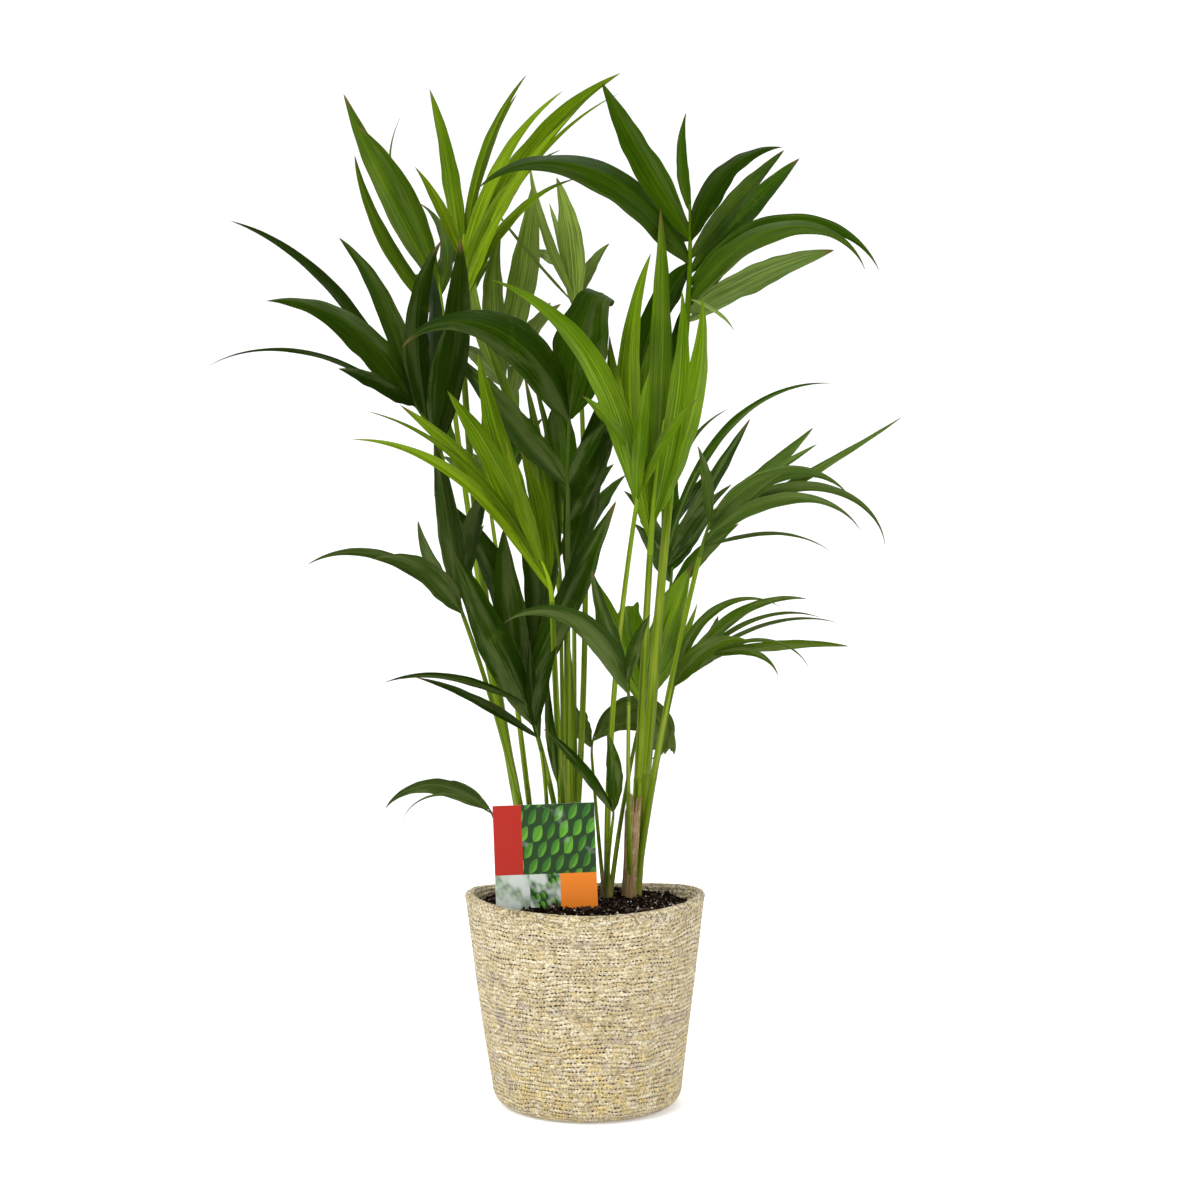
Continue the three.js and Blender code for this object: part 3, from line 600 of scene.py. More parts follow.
class Shader:
    """Builds one node tree, a node at a time."""

    def __init__(self, tree: bpy.types.NodeTree) -> None:
        """Holds the tree that it adds to."""
        self.tree = tree

    def node(self, kind: str, inputs: dict[object, object] | None = None, **settings: object) -> Wire:
        """Adds a node.

        Args:
            kind: its type, without the "ShaderNode" in front.
            inputs: what goes into each socket: a value, or a wire.
            settings: the node's own properties.

        Returns:
            Its first output.
        """
        made = self.tree.nodes.new(kind if kind.startswith("Node") else "ShaderNode" + kind)
        for key, value in settings.items():
            setattr(made, key, value)
        for key, value in (inputs or {}).items():
            self.feed(made.inputs[key], value)
        return Wire(self, made.outputs[0])

    def feed(self, socket: bpy.types.NodeSocket, value: object) -> None:
        """Links a wire to a socket, or sets the socket's own value.

        Args:
            socket: the input.
            value: a wire, or a constant.
        """
        if isinstance(value, Wire):
            self.tree.links.new(value.socket, socket)
        else:
            socket.default_value = (*value, 1.0) if socket.type == "RGBA" else value

    def mix(self, share: object, under: object, over: object) -> Wire:
        """Lays a share of one colour over another."""
        colours = {MIX_SHARE: share, MIX_UNDER: under, MIX_OVER: over}
        return self.node("Mix", colours, data_type="RGBA").of(MIX_RESULT)

    def coat(self, base: object, *layers: tuple[object, object]) -> Wire:
        """Lays colours over a base.

        Args:
            base: the colour underneath.
            layers: a share and a colour for each, the lowest first.

        Returns:
            The colour on top.
        """
        for share, colour in layers:
            base = self.mix(share, base, colour)
        return base

    def noise(self, where: object, scale: float, detail: float = 3.0, rough: float = 0.5) -> Wire:
        """Noise from 0 to 1, with scale cells to the metre, or to the unit of where."""
        return self.node("TexNoise", {"Vector": where, "Scale": scale, "Detail": detail, "Roughness": rough})

    def chance(self, cell: Wire) -> Wire:
        """A random number for each cell, and a random colour as its second output."""
        return self.node("TexWhiteNoise", {"Vector": cell}, noise_dimensions="2D")

    def paint(self, name: str, out: str = "Fac") -> Wire:
        """Reads a mesh's own paint."""
        return self.node("Attribute", attribute_type="GEOMETRY", attribute_name=name).of(out)

    def join(self, x: object, y: object, z: object = 0.0) -> Wire:
        """A vector of three numbers."""
        return self.node("CombineXYZ", {"X": x, "Y": y, "Z": z})

    def place(self, *scale: float) -> Wire:
        """The place on the object in metres, stretched along each axis where a scale is given."""
        where = self.node("TexCoord").of("Object")
        return self.node("Mapping", {"Vector": where, "Scale": scale}) if scale else where

    def bump(self, height: Wire, strength: float, distance: float) -> Wire:
        """The normal that relief of this height gives."""
        return self.node("Bump", {"Strength": strength, "Distance": distance, "Height": height})


class Finish:
    """What all finishes share: they draw on a new material."""

    def draw(self, s: Shader) -> dict[str, object]:
        """Draws the finish, and says what goes into each socket of the Principled shader."""
        raise NotImplementedError

    def build(self, name: str) -> Material:
        """Makes the material.

        Args:
            name: its name.

        Returns:
            The material.
        """
        material = bpy.data.materials.new(name)
        material.use_nodes = True
        shaded = next(n for n in material.node_tree.nodes if n.type == "BSDF_PRINCIPLED")
        s = Shader(material.node_tree)
        for key, value in self.draw(s).items():
            s.feed(shaded.inputs[key], value)
        return material


@dataclass(frozen=True)
class LeafFinish(Finish):
    """A frond's green, the lighter green of its ribs and veins, how they show, and how much painted sheen
    lies on it.
    """

    green: Colour
    light: Colour
    vein: float
    painted_sheen: float
    ior: float = 1.12
    gloss: Colour = (0.85, 0.9, 0.28)

    @staticmethod
    def pattern() -> bpy.types.NodeTree:
        """The pattern that all greens share, as a node group that is built once.

        The paint leaf_place is (share along, place across from -1 to 1, 1 on the underside),
        leaf_tint is (lighter or darker, yellower, how brown the tip is), and leaf_dull is how
        far the green has greyed. Veins run along the leaflet, so they depend on the place
        across, and drift a little along it. A painted sheen lies on one half of it, and on both
        halves of the leaves lower down; painted shade darkens the other half.

        Returns:
            The group.
        """
        made = bpy.data.node_groups.get("leaf_pattern")
        if made:
            return made
        group = bpy.data.node_groups.new("leaf_pattern", "ShaderNodeTree")
        for key, kind in (("Green", "Color"), ("Light", "Color"), ("Vein", "Float"), ("Painted_sheen", "Float")):
            group.interface.new_socket(key, in_out="INPUT", socket_type="NodeSocket" + kind)
        for key, kind in (("Colour", "Color"), ("Roughness", "Float"), ("Height", "Float")):
            group.interface.new_socket(key, in_out="OUTPUT", socket_type="NodeSocket" + kind)
        s = Shader(group)
        given = s.node("NodeGroupInput")
        light = given.of("Light")
        along, across, under = s.paint("leaf_place", "Vector").split()
        shade, yellow, brown = s.paint("leaf_tint", "Vector").split()
        where = s.place()
        drift = s.noise(where, 14.0, 2.0)
        blotch = s.noise(where, 55.0, 4.0, 0.6)
        lanes = s.noise(s.join(across * 11.0, along * 2.2, shade * 40.0), 1.0, 3.0, 0.6)
        veins = s.noise(s.join(across * 34.0, along * 5.0, yellow * 40.0), 1.0, 2.0, 0.5)
        comb = (across * 4.5 + lanes * 0.5).pingpong(0.5).ramp(0.16, 0.03) * veins.ramp(0.3, 0.6, 0.3, 1.0)
        base = s.coat(
            given.of("Green"),
            (yellow * 0.5, light),
            (drift.ramp(0.35, 0.7, 0.0, 0.3), light),
            (s.paint("leaf_dull") * 0.8, (0.1, 0.14, 0.036)),
        )
        dark = s.mix(0.75, base, (0.004, 0.014, 0.0004))
        # side is positive on one half of each leaflet, as yellow picks it: painted shade darkens the other
        # half, and the painted sheen lies on this one.
        side = across * (yellow - 0.25).sign()
        lowness = where.split()[2].ramp(0.82, 0.58)
        # Painted sheen: pale grey-green patches on one half of each leaflet, and on both halves of the leaves
        # lower down.
        cloud = s.noise(s.join(across * 1.6, along * 2.6, shade * 60.0), 1.0, 3.0).ramp(0.4, 0.6)
        painted_sheen = cloud * (lowness * 0.5 + side).ramp(-0.1, 0.45) * given.of("Painted_sheen")
        painted_sheen = painted_sheen * veins.ramp(0.3, 0.6, 0.6, 1.0) * (lowness * 0.5 + 0.7)
        base = s.coat(
            base,
            (lanes.ramp(0.38, 0.64) * 0.8, dark),
            (veins.ramp(0.5, 0.75) * given.of("Vein"), light),
            (comb * 0.45, dark),
            (abs(across).ramp(0.01, 0.07, 1.0, 0.0) * 0.4, light),
            (blotch.ramp(0.58, 0.75) * 0.25, (0.08, 0.12, 0.006)),
            # painted shade on one half of the leaflet
            (side.ramp(0.1, -0.5, 0.0, 0.3), dark),
            # painted sheen
            (painted_sheen, (0.105, 0.13, 0.045)),
        )
        lit = s.node("HueSaturation", {"Value": shade + 1.0, "Color": base})
        lit = s.mix(under, lit, s.mix(0.3, lit, (0.15, 0.2, 0.035)))
        tip = ((lanes - 0.5) * 0.12 + along).ramp(0.9, 0.985)
        edge = abs(across).ramp(0.86, 1.0) * blotch.ramp(0.5, 0.7) * 0.45
        results = {
            "Colour": s.mix((tip * brown).larger(edge * brown), lit, (0.1, 0.07, 0.02)),
            "Roughness": blotch.ramp(0.3, 0.7, 0.34, 0.5) + under * 0.12,
            "Height": veins * 0.7 + s.noise(where, 260.0, 2.0) * 0.3,
        }
        out = group.nodes.new("NodeGroupOutput")
        for key, wire in results.items():
            s.feed(out.inputs[key], wire)
        return group

    def draw(self, s: Shader) -> dict[str, object]:
        """Places the pattern with this green's own values.

        Args:
            s: the material's shader.

        Returns:
            What goes into each socket.
        """
        group = s.node("Group", node_tree=self.pattern())
        for key in ("Green", "Light", "Vein", "Painted_sheen"):
            s.feed(group.socket.node.inputs[key], getattr(self, key.lower()))
        return {
            "Base Color": group.of("Colour"),
            "Roughness": group.of("Roughness"),
            "Normal": s.bump(group.of("Height"), 0.6, 0.0006),
            "IOR": self.ior,
            "Specular Tint": self.gloss,
        }


# The fourth number of each green is how much painted sheen it carries.
LEAF_FINISHES: dict[Tone, LeafFinish] = {
    Tone.MATURE: LeafFinish((0.018, 0.056, 0.0006), (0.072, 0.132, 0.002), 0.35, 0.33, 1.1),
    Tone.DARK: LeafFinish((0.008, 0.026, 0.0006), (0.038, 0.074, 0.002), 0.3, 0.36, 1.1),
    Tone.MID: LeafFinish((0.038, 0.082, 0.0012), (0.115, 0.182, 0.008), 0.4, 0.4),
    Tone.GOLD: LeafFinish((0.08, 0.158, 0.0012), (0.23, 0.335, 0.008), 0.5, 0.1),
    Tone.YOUNG: LeafFinish((0.05, 0.11, 0.001), (0.19, 0.3, 0.01), 0.55, 0.2),
    Tone.PALE: LeafFinish((0.075, 0.125, 0.01), (0.21, 0.28, 0.055), 0.4, 0.3),
}


@dataclass(frozen=True)
class StalkFinish(Finish):
    """The smooth green of stalks and bound stems, and the dry fibre of old sheaths."""

    green: Colour = (0.16, 0.235, 0.006)
    deep: Colour = (0.03, 0.065, 0.002)
    straw: Colour = (0.31, 0.37, 0.05)
    fibre: Colour = (0.35, 0.24, 0.115)
    husk: Colour = (0.12, 0.07, 0.03)
    flake: Colour = (0.5, 0.41, 0.3)

    def draw(self, s: Shader) -> dict[str, object]:
        """Draws streaks along the stalk, deeper green by stretches, painted shade down one side and in the
        hollows of its relief, and tan at the soil.

        The paint stalk is (share along, relief, the stalk's own share), or in a sheath
        (height, relief, 2 plus how dry it is). The noises are drawn out along the stalk.

        Args:
            s: the material's shader.

        Returns:
            What goes into each socket.
        """
        _, relief, own = s.paint("stalk", "Vector").split()
        x, y, height = s.paint("spoke", "Vector").split()
        scales = ((2.6, 7.0, 4.0), (0.4, 11.0, 2.0), (9.0, 50.0, 3.0), (0.8, 2.5, 2.0))
        streaks, stretches, fine, side_shade = (
            s.noise(s.join(x * wide, y * wide, height * long + own * 30.0), 1.0, detail, 0.6)
            for wide, long, detail in scales
        )
        blotch = s.noise(s.place(), 130.0, 4.0, 0.65)
        low = ((stretches - 0.5) * 0.05 + height).ramp(0.2, 0.228, 0.7, 0.0)
        dry = ((streaks - 0.5) * 0.5 + (own - 2.0).larger(0.0)).ramp(0.35, 0.6)
        old = s.coat(
            self.husk, (fine.ramp(0.3, 0.6), self.fibre), (blotch.ramp(0.5, 0.72, 0.0, 0.6), self.flake)
        )
        base = s.coat(
            self.green,
            (streaks.ramp(0.45, 0.68, 0.0, 0.65), self.deep),
            # painted shade: one side of the stalk darker, by slow noise round it
            (side_shade.ramp(0.45, 0.6, 0.0, 0.8), self.deep),
            (stretches.ramp(0.45, 0.7, 0.0, 0.5), self.straw),
            (own.fract() * 0.4, self.deep),
            # painted shade in the groove and between the ribs
            (relief.ramp(-0.04, -0.1, 0.0, 0.5), self.deep),
            (low * fine.ramp(0.3, 0.7, 0.4, 1.0), self.fibre),
            (dry, old),
            (blotch.ramp(0.68, 0.78, 0.0, 0.35), self.fibre),
        )
        return {
            "Base Color": base,
            "Roughness": streaks.ramp(0.3, 0.7, 0.36, 0.52) + dry * 0.3,
            "Normal": s.bump(streaks * 0.6 + fine * (dry * 0.9 + 0.25), 0.5, 0.0008),
            "IOR": 1.19,
            "Specular Tint": (0.9, 0.95, 0.5),
        }


@dataclass(frozen=True)
class StrawFinish(Finish):
    """The dried seagrass of the basket: its cream, and the straws that differ from it."""

    cream: Colour = (0.565, 0.47, 0.265)
    bleached: Colour = (0.8, 0.72, 0.51)
    chaff: Colour = (0.88, 0.82, 0.62)
    grey: Colour = (0.4, 0.34, 0.29)
    ochre: Colour = (0.72, 0.54, 0.17)
    brown: Colour = (0.22, 0.13, 0.065)
    shadow: Colour = (0.02, 0.011, 0.006)
    strands: float = 222.0
    pinholes: float = 0.84

    def draw(self, s: Shader) -> dict[str, object]:
        """Draws the stitches.

        The paint row counts the rows up the wall. Stitch number n = strands a / 2 pi slants
        one way in odd rows and the other way in even ones. A stitch is a dome,
        sin(pi row) (0.35 + 0.65 |sin(pi n)|), with a colour of its own. On the seam between
        two rows lie slanting oval pinholes, 9.5 u^2 + 24 v^2 < 1, some deep and some hardly
        open. Near the lip the rows fade into crumbs.

        Args:
            s: the material's shader.

        Returns:
            What goes into each socket.
        """
        where = s.place()
        x, y, z = where.split()
        row = s.paint("row")
        angle = y.atan2(x) / (2 * math.pi)
        share, index = row.fract(), row.floor()
        own = s.node("TexWhiteNoise", {"W": index}, noise_dimensions="1D")
        wander = s.noise(s.place(1.0, 1.0, 2.0), 34.0, 3.0)
        slant = index % 2.0 * 1.9 - 0.95
        ply = share * slant + (angle * self.strands + (own * 7.0 + wander * 7.0))
        dome = (share * math.pi).sine() * (abs((ply * math.pi).sine()) * 0.65 + 0.35)
        straw, hue, _ = s.chance(s.join((ply * 0.5).floor(), index)).of("Color").split()
        seam = (row + 0.5).floor()
        v = row - seam
        u = v * slant + (angle * (self.pinholes * self.strands) + (seam * 0.63 + wander * 4.5))
        across = u.fract() - 0.5
        ring = across * across * 9.5 + v * v * 24.0
        depth = s.chance(s.join(u.floor(), seam))
        stretch = s.noise(s.place(34.0, 34.0, 260.0), 1.0, 3.0, 0.6)
        band = s.noise(s.place(9.0, 9.0, 60.0), 1.0, 4.0, 0.6)
        grain = s.noise(s.place(800.0, 800.0, 1300.0), 1.0, 3.0, 0.65)
        patches = s.noise(s.place(50.0, 50.0, 130.0), 1.0, 3.0).ramp(0.36, 0.53, 0.3, 1.0)
        crumbs = s.node("TexVoronoi", {"Vector": where, "Scale": 430.0})
        lip = (band * 0.012 + z).ramp(0.19, 0.207)
        hole = ring.ramp(1.1, 0.7) * (depth.ramp(0.1, 0.45) * patches * (lip * -0.7 + 1.0))
        hole = hole.larger(crumbs.ramp(0.55, 0.72) * (lip * 0.25 + 0.4))
        base = s.coat(
            self.cream,
            (straw.ramp(0.35, 0.95, 0.0, 0.85), self.bleached),
            (stretch.ramp(0.52, 0.66, 0.0, 0.7), self.bleached),
            (stretch.ramp(0.46, 0.34, 0.0, 0.4), self.grey),
            (hue.ramp(0.55, 0.85) * z.ramp(0.14, 0.03, 0.2, 0.6), self.ochre),
            (band.ramp(0.5, 0.68) * hue.ramp(0.5, 0.1, 0.25, 0.85), self.grey),
            (grain.ramp(0.5, 0.62, 0.0, 0.75), self.brown),
            (grain.ramp(0.44, 0.32, 0.0, 0.55), self.chaff),
            # painted shade between the stitches, where each dome falls away to the seam
            (dome.ramp(0.45, 0.1, 0.0, 0.18), self.brown),
            (hole, self.shadow),
        )
        return {
            "Base Color": base,
            "Roughness": grain.ramp(0.3, 0.7, 0.62, 0.85),
            "Normal": s.bump(dome * 0.8 + grain * 0.45 - hole * 0.9, 0.9, 0.0012),
            "Specular IOR Level": 0.3,
        }


@dataclass(frozen=True)
class MixFinish(Finish):
    """Damp bark and peat: near black, with brown chips and a few pale grains."""

    peat: Colour = (0.003, 0.0016, 0.001)
    bark: Colour = (0.014, 0.0075, 0.005)
    fleck: Colour = (0.25, 0.19, 0.15)
    chip: Colour = (0.045, 0.025, 0.016)
    grain: Colour = (0.6, 0.55, 0.48)

    def draw(self, s: Shader) -> dict[str, object]:
        """Draws lumps and flecks; the paint grade is 0 for peat to 1 for a pale grain.

        Args:
            s: the material's shader.

        Returns:
            What goes into each socket.
        """
        where = s.place()
        lumps = s.noise(where, 260.0, 4.0, 0.65)
        crumbs = s.node("TexVoronoi", {"Vector": where, "Scale": 420.0})
        grade = s.paint("grade")
        base = s.coat(
            self.peat,
            (lumps.ramp(0.45, 0.7), self.bark),
            (crumbs.of("Color").split()[0].ramp(0.91, 0.94, 0.0, 0.6), self.fleck),
            (grade.ramp(0.3, 0.55), self.chip),
            (grade.ramp(0.8, 0.9), self.grain),
        )
        return {
            "Base Color": base,
            "Roughness": lumps.ramp(0.3, 0.7, 0.55, 0.9),
            "IOR": 1.06,
            "Normal": s.bump(lumps + crumbs * 0.6, 0.9, 0.002),
        }


@dataclass(frozen=True)
class CardFinish(Finish):
    """The printed card: flat colours in plain blocks, with rows of leaf shapes on the green."""

    ground: Colour = (0.012, 0.035, 0.008)
    leaf: Colour = (0.022, 0.1, 0.012)
    fresh: Colour = (0.09, 0.27, 0.02)
    red: Colour = (0.31, 0.015, 0.008)
    orange: Colour = (0.62, 0.17, 0.014)
    pale: Colour = (0.42, 0.46, 0.42)
    board: Colour = (0.72, 0.73, 0.7)
    strip: float = 0.33
    red_edge: float = 0.28
    meadow_edge: float = 0.34
    orange_edge: float = 0.64

    def leaves(self, s: Shader, across: Wire, up: Wire, soft: Wire, rows: float, slope: float) -> Wire:
        """Draws rows of slanting pointed ovals, each lit along one edge.

        In a cell of the slanting grid, an oval is where |v| < cos(pi u), with u along it.

        Args:
            s: the material's shader.
            across: the place across the card.
            up: the place up the card.
            soft: slow noise that bends the rows.
            rows: ovals across the card.
            slope: how far the rows slant.

        Returns:
            The colour.
        """
        v = across * rows + soft * 0.5 + up * (-rows * slope)
        column = v.floor()
        u = column * 0.37 + (up * (rows * 0.45) + across * (rows * slope))
        lot = s.chance(s.join(column, u.floor()))
        side = v.fract() * 2.0 - 1.0
        reach = (u.fract() * math.pi).sine() * (lot * 0.3 + 0.62)
        leaf = s.coat(
            self.leaf,
            ((lot * 1.2 + side).ramp(-0.3, 1.5), self.fresh),
            (abs(side).ramp(0.1, 0.03, 0.0, 0.6), self.ground),
        )
        return s.mix((reach - abs(side)).ramp(0.0, 0.08), self.ground, leaf)

    def draw(self, s: Shader) -> dict[str, object]:
        """Draws the print from the card's own paint, card_place, (across, up) from 0 to 1.

        The upper field is green, with rows of slanting pointed ovals; a red block stands at its
        left; the strip below is pale grey, green and orange.

        Args:
            s: the material's shader.

        Returns:
            What goes into each socket.
        """
        across, up, front = s.paint("card_place", "Vector").split()
        soft = s.noise(s.join(across, up), 5.0, 2.0)
        small = self.leaves(s, across, up, soft, 17.0, -0.6)
        field_print = s.coat(
            self.leaves(s, across, up, soft, 8.0, 0.55),
            (soft.ramp(0.6, 0.75, 0.0, 0.35), self.pale),
            (across.below(self.red_edge), self.red),
        )
        strip_print = s.coat(
            self.pale,
            (soft.ramp(0.4, 0.6, 0.0, 0.6), small),
            (across.above(self.meadow_edge), s.mix(soft.ramp(0.42, 0.6), small, self.pale)),
            (across.above(self.orange_edge), self.orange),
        )
        art = s.mix(up.above(self.strip), strip_print, field_print)
        return {
            "Base Color": s.mix(front, self.board, art),
            "Roughness": s.noise(s.place(), 90.0, 3.0).ramp(0.3, 0.7, 0.34, 0.46),
            "IOR": 1.25,
        }


@dataclass(frozen=True)
class PaperFinish(Finish):
    """The studio's white paper, which glows a little."""

    glow: float = 0.27

    def draw(self, s: Shader) -> dict[str, object]:
        """The paper's plain values."""
        lit = {"Emission Color": (1.0, 1.0, 1.0), "Emission Strength": self.glow}
        return {"Base Color": (0.93, 0.93, 0.93), "Roughness": 0.9, **lit}


# ---- fronds ---------------------------------------------------------------------------


@dataclass(frozen=True)
class LeafletShape:
    """How a leaflet's blade is worked: its thickness, fold, pleats and waves, in millimetres."""

    rings: int = 44
    lanes: int = 11
    thickness: float = 0.55
    fold: float = 0.26
    pleat: float = 0.22
    wave: float = 1.3
    twist: float = 9.0
    torn: float = 0.0
    tear: float = 16.0
    blunt: float = 0.0
    curl: float = 0.0
    widen: float = 1.0


BROAD_TORN = LeafletShape(torn=1.0, wave=2.2, fold=0.12, widen=1.3)
CURLED = LeafletShape(blunt=0.25, curl=0.13, widen=1.3, fold=0.1, wave=0.8)
ODD_LEAFLETS: dict[tuple[str, int], LeafletShape] = {
    ("low_back", 0): BROAD_TORN, ("low_back", 1): BROAD_TORN, ("low_back", 2): BROAD_TORN,
    ("pale_low", 1): BROAD_TORN, ("centre_mature", 2): CURLED,
}
# How much lighter than its tone a frond is, how much more so single leaflets are, and how grey.
# pale_low's lift of 0.6 is painted light: it brightens a frond that lies in the shade of others, as light
# shining through its leaves would.
LIFTS: dict[str, float] = {
    "pale_back": 0.3, "top_right": -0.26, "pale_low": 0.6, "right_arch": 0.05, "low_front": -0.1,
    "left_mature": -0.24, "cross_front": 0.05, "broad_back": -0.1, "low_back": 0.1, "right_back": 0.12,
    "mid_back_left": -0.05, "long_left": 0.12, "hang_left": -0.25, "left_low": -0.15, "fan_centre": -0.22,
}
# The pale grey-green of top_right's leaflets 8 and 9, lifted here and greyed in DULL_LEAFLETS, is partly
# their own colour and partly a painted grey sheen.
LEAFLET_LIFTS: dict[str, dict[int, float]] = {
    "top_right": {2: 0.3, 4: 0.3, 5: 0.45, 6: 0.25, 7: 0.15, 8: 1.1, 9: 1.0, 10: 1.3},
    "right_back": {0: 0.4, 1: 0.5, 2: 0.25},
    "young_front": {0: 0.25, 2: 0.25, 3: 0.4, 4: -0.1},
    "left_mature": {1: 0.2, 5: -0.2, 6: -0.2},
    "right_arch": {0: 0.1, 4: 0.3, 5: 0.25},
    "bright_left": {1: -0.2, 3: -0.15, 5: -0.25},
    "gold_top": {0: -0.25, 7: -0.15, 8: -0.2},
    "mid_back_left": {1: -0.1, 3: 0.15},
}
DULL_FRONDS: dict[str, float] = {
    "right_arch": 0.5, "left_low": 0.4, "cross_front": 0.2, "tag_side": 0.4, "low_back": 0.5,
    "right_low": 0.1,
}
DULL_LEAFLETS: dict[str, dict[int, float]] = {"top_right": {4: 0.2, 7: 0.1, 8: 0.9, 9: 0.9, 10: 1.0}}


@dataclass
class Frond:
    """One frond: a rib that carries its leaflets, each a thin folded blade."""

    plan: FrondPlan
    stem: StemPlan
    number: int

    def petiole(self) -> Arc:
        """The stalk's axis."""
        return Arc(*self.plan.petiole)

    def rib(self) -> Arc:
        """The rib's axis, which carries on in the stalk's heading."""
        length, bend, lean = self.plan.rib
        return Arc(length, self.plan.petiole[1] + self.plan.petiole[2], bend, lean)

    def foot(self) -> Array:
        """Finds where the stalk leaves the soil: beside the stem's middle, where it leans to.

        Returns:
            The point.
        """
        reach = arc_points(np.zeros(3), self.petiole(), np.array([1.0]))[0]
        out = reach[:2] / np.linalg.norm(reach[:2]) * FOOT_SPREAD
        return np.array([self.stem.x + out[0], self.stem.y + out[1], SOIL_LEVEL])

    def bound(self) -> float:
        """The share of the stalk that is bound in its stem."""
        return min(LONGEST_BOUND, self.stem.bundle / self.plan.petiole[0])

    def stalk_top(self) -> Array:
        """Where the rib takes over from the stalk."""
        return arc_points(self.foot(), self.petiole(), np.array([1.0]))[0]

    def radius(self, t: float) -> float:
        """The stalk's radius, in millimetres, at a share of its length."""
        return self.plan.girth * (1 + (PETIOLE_TAPER - 1) * t)

    def blades(self) -> list[Blade]:
        """Every leaflet: those in the frond's plane, then those that stand out of it.

        The latter are evenly spaced, left and right in turn, with leans dealt out by the
        golden ratio. A leaflet turns about its own length by 18 to 38 degrees, and is
        widened to match.

        Returns:
            The leaflets' axes.
        """
        rib = self.rib()
        count, side, length, width = self.plan.inner
        rows = list(self.plan.leaflets)
        for i in range(count):
            station = (i + 0.5) / count
            hand = 1 if i % 2 == 0 else -1
            lean = side * (INNER_LEAN[0] + INNER_LEAN[1] * ((i * GOLDEN_SHARE) % 1))
            heading = rib.heading + rib.bend * station + hand * INNER_TURN
            shorter = length * (1 - INNER_SHORTENING * station)
            rows.append((station, shorter, heading, hand * INNER_BEND, lean, width))
        made = []
        for index, (station, long, heading, bend, lean, seen) in enumerate(rows):
            hand = np.sign(heading + 0.5) * np.sign(lean)
            roll = float(hand * (ROLL[0] + ROLL[1] * ((index * GOLDEN_SHARE) % 1)))
            width = seen / math.cos(math.radians(roll))
            made.append(Blade(max(station, FIRST_STATION), long, heading, bend, lean, width, roll))
        return made

    def blade_frame(self, blade: Blade, shape: LeafletShape, t: Array, phase: float) -> tuple[Array, ...]:
        """Lays out a leaflet's axis and the directions of its blade.

        A curled one is longer by the share c, and its last 2 c are wound back through half a
        turn of radius R = 2 c length / pi: at the angle a, R sin a further along and
        R (1 - cos a) back.

        Args:
            blade: its axis, width and turn.
            shape: how it is worked.
            t: shares of its length.
            phase: where its slow twist begins.

        Returns:
            For each share, the point on the axis and the unit directions along it, across
            the blade and out of it.
        """
        root = arc_points(self.stalk_top(), self.rib(), np.array([blade.station]))[0]
        centre = blade_points(root, blade, t * (1 + shape.curl))
        heading = blade.heading + blade.bend * t**BLADE_POWER
        along = direction(heading, blade.lean)
        h = np.radians(heading)
        flat = columns(np.cos(h), 0.0, -np.sin(h))
        turn = np.radians(blade.roll + shape.twist * np.sin(2.2 * t + phase) * t)[:, None]
        across = flat * np.cos(turn) + np.cross(along, flat) * np.sin(turn)
        out = np.cross(across, along)
        if shape.curl:
            wound = np.maximum(0.0, t * (1 + shape.curl) - (1 - shape.curl)) * blade.length
            radius = 2 * shape.curl * blade.length / math.pi
            angle = (wound / radius)[:, None]
            facing = np.sign(out[:, 1:2])
            centre = centre + along * (radius * np.sin(angle) - wound[:, None])
            centre = centre + out * facing * radius * (1 - np.cos(angle))
            ahead = along
            along = ahead * np.cos(angle) + out * facing * np.sin(angle)
            out = out * np.cos(angle) - ahead * facing * np.sin(angle)
        return centre, along, across, out

    def leaflet(self, blade: Blade, index: int) -> Skin:
        """Makes one leaflet.

        A section at share t and place v across, from -1 to 1: the point stands
        fold w (1 - |v|^1.3) above the blade's flat, w being half its width there, plus
        pleats cos(9 pi v / 2), a slow wave at the margins that grows with |v|^2, and a keel.

        Args:
            blade: its axis, width and turn.
            index: its number on the frond.

        Returns:
            Its closed skin.
        """
        name = self.plan.name
        shape = ODD_LEAFLETS.get((name, index), LeafletShape())
        rng = np.random.default_rng(1000 * self.number + index)
        phase = rng.uniform(0, 2 * np.pi, 6)
        t = np.linspace(0.0, 1.0, shape.rings + 1) ** 0.92
        centre, *axes = self.blade_frame(blade, shape, t, phase[0])
        tip = centre[-1]
        centre, along, across, out, t = (part[:-1] for part in (centre, *axes, t))
        full = max(shape.torn, shape.blunt)
        blunt = np.minimum(1, (t / 0.45) ** 0.8) * (1 - 0.15 * t)
        half = shape.widen * blade.width * (blade_width(t, blade.bend) * (1 - full) + blunt * full) / 2
        half = (half * (1 + 0.035 * np.sin(17 * t + phase[1]) + 0.02 * np.sin(41 * t + phase[2])))[:, None]
        t = t[:, None]
        v = np.linspace(-1, 1, shape.lanes)
        lanes = np.concatenate([v, v[-2:0:-1]])
        under = (np.arange(len(lanes)) >= shape.lanes).astype(float)
        rise = shape.fold * half * (1 - np.abs(lanes) ** 1.3)
        pleat = shape.pleat * np.cos(4.5 * np.pi * lanes) * np.minimum(1, half / 6)
        swing = np.sin(13 * t + phase[3] + 2.6 * np.sign(lanes)) + 0.5 * np.sin(31 * t + phase[4] + lanes)
        wave = shape.wave * swing * lanes**2 * np.minimum(1, half / 14)
        body = shape.thickness * (1 - 0.6 * lanes**2) * -under * np.minimum(1, 0.3 + half / 4)
        keel = 0.7 * np.exp(-((lanes / 0.09) ** 2)) * np.minimum(1, half / 6) * np.where(under == 1, -1, 0.35)
        height = rise + pleat + wave + body + keel
        rings = centre[:, None] + across[:, None] * (half * lanes)[:, :, None]
        rings = rings + out[:, None] * height[:, :, None]
        if shape.torn:
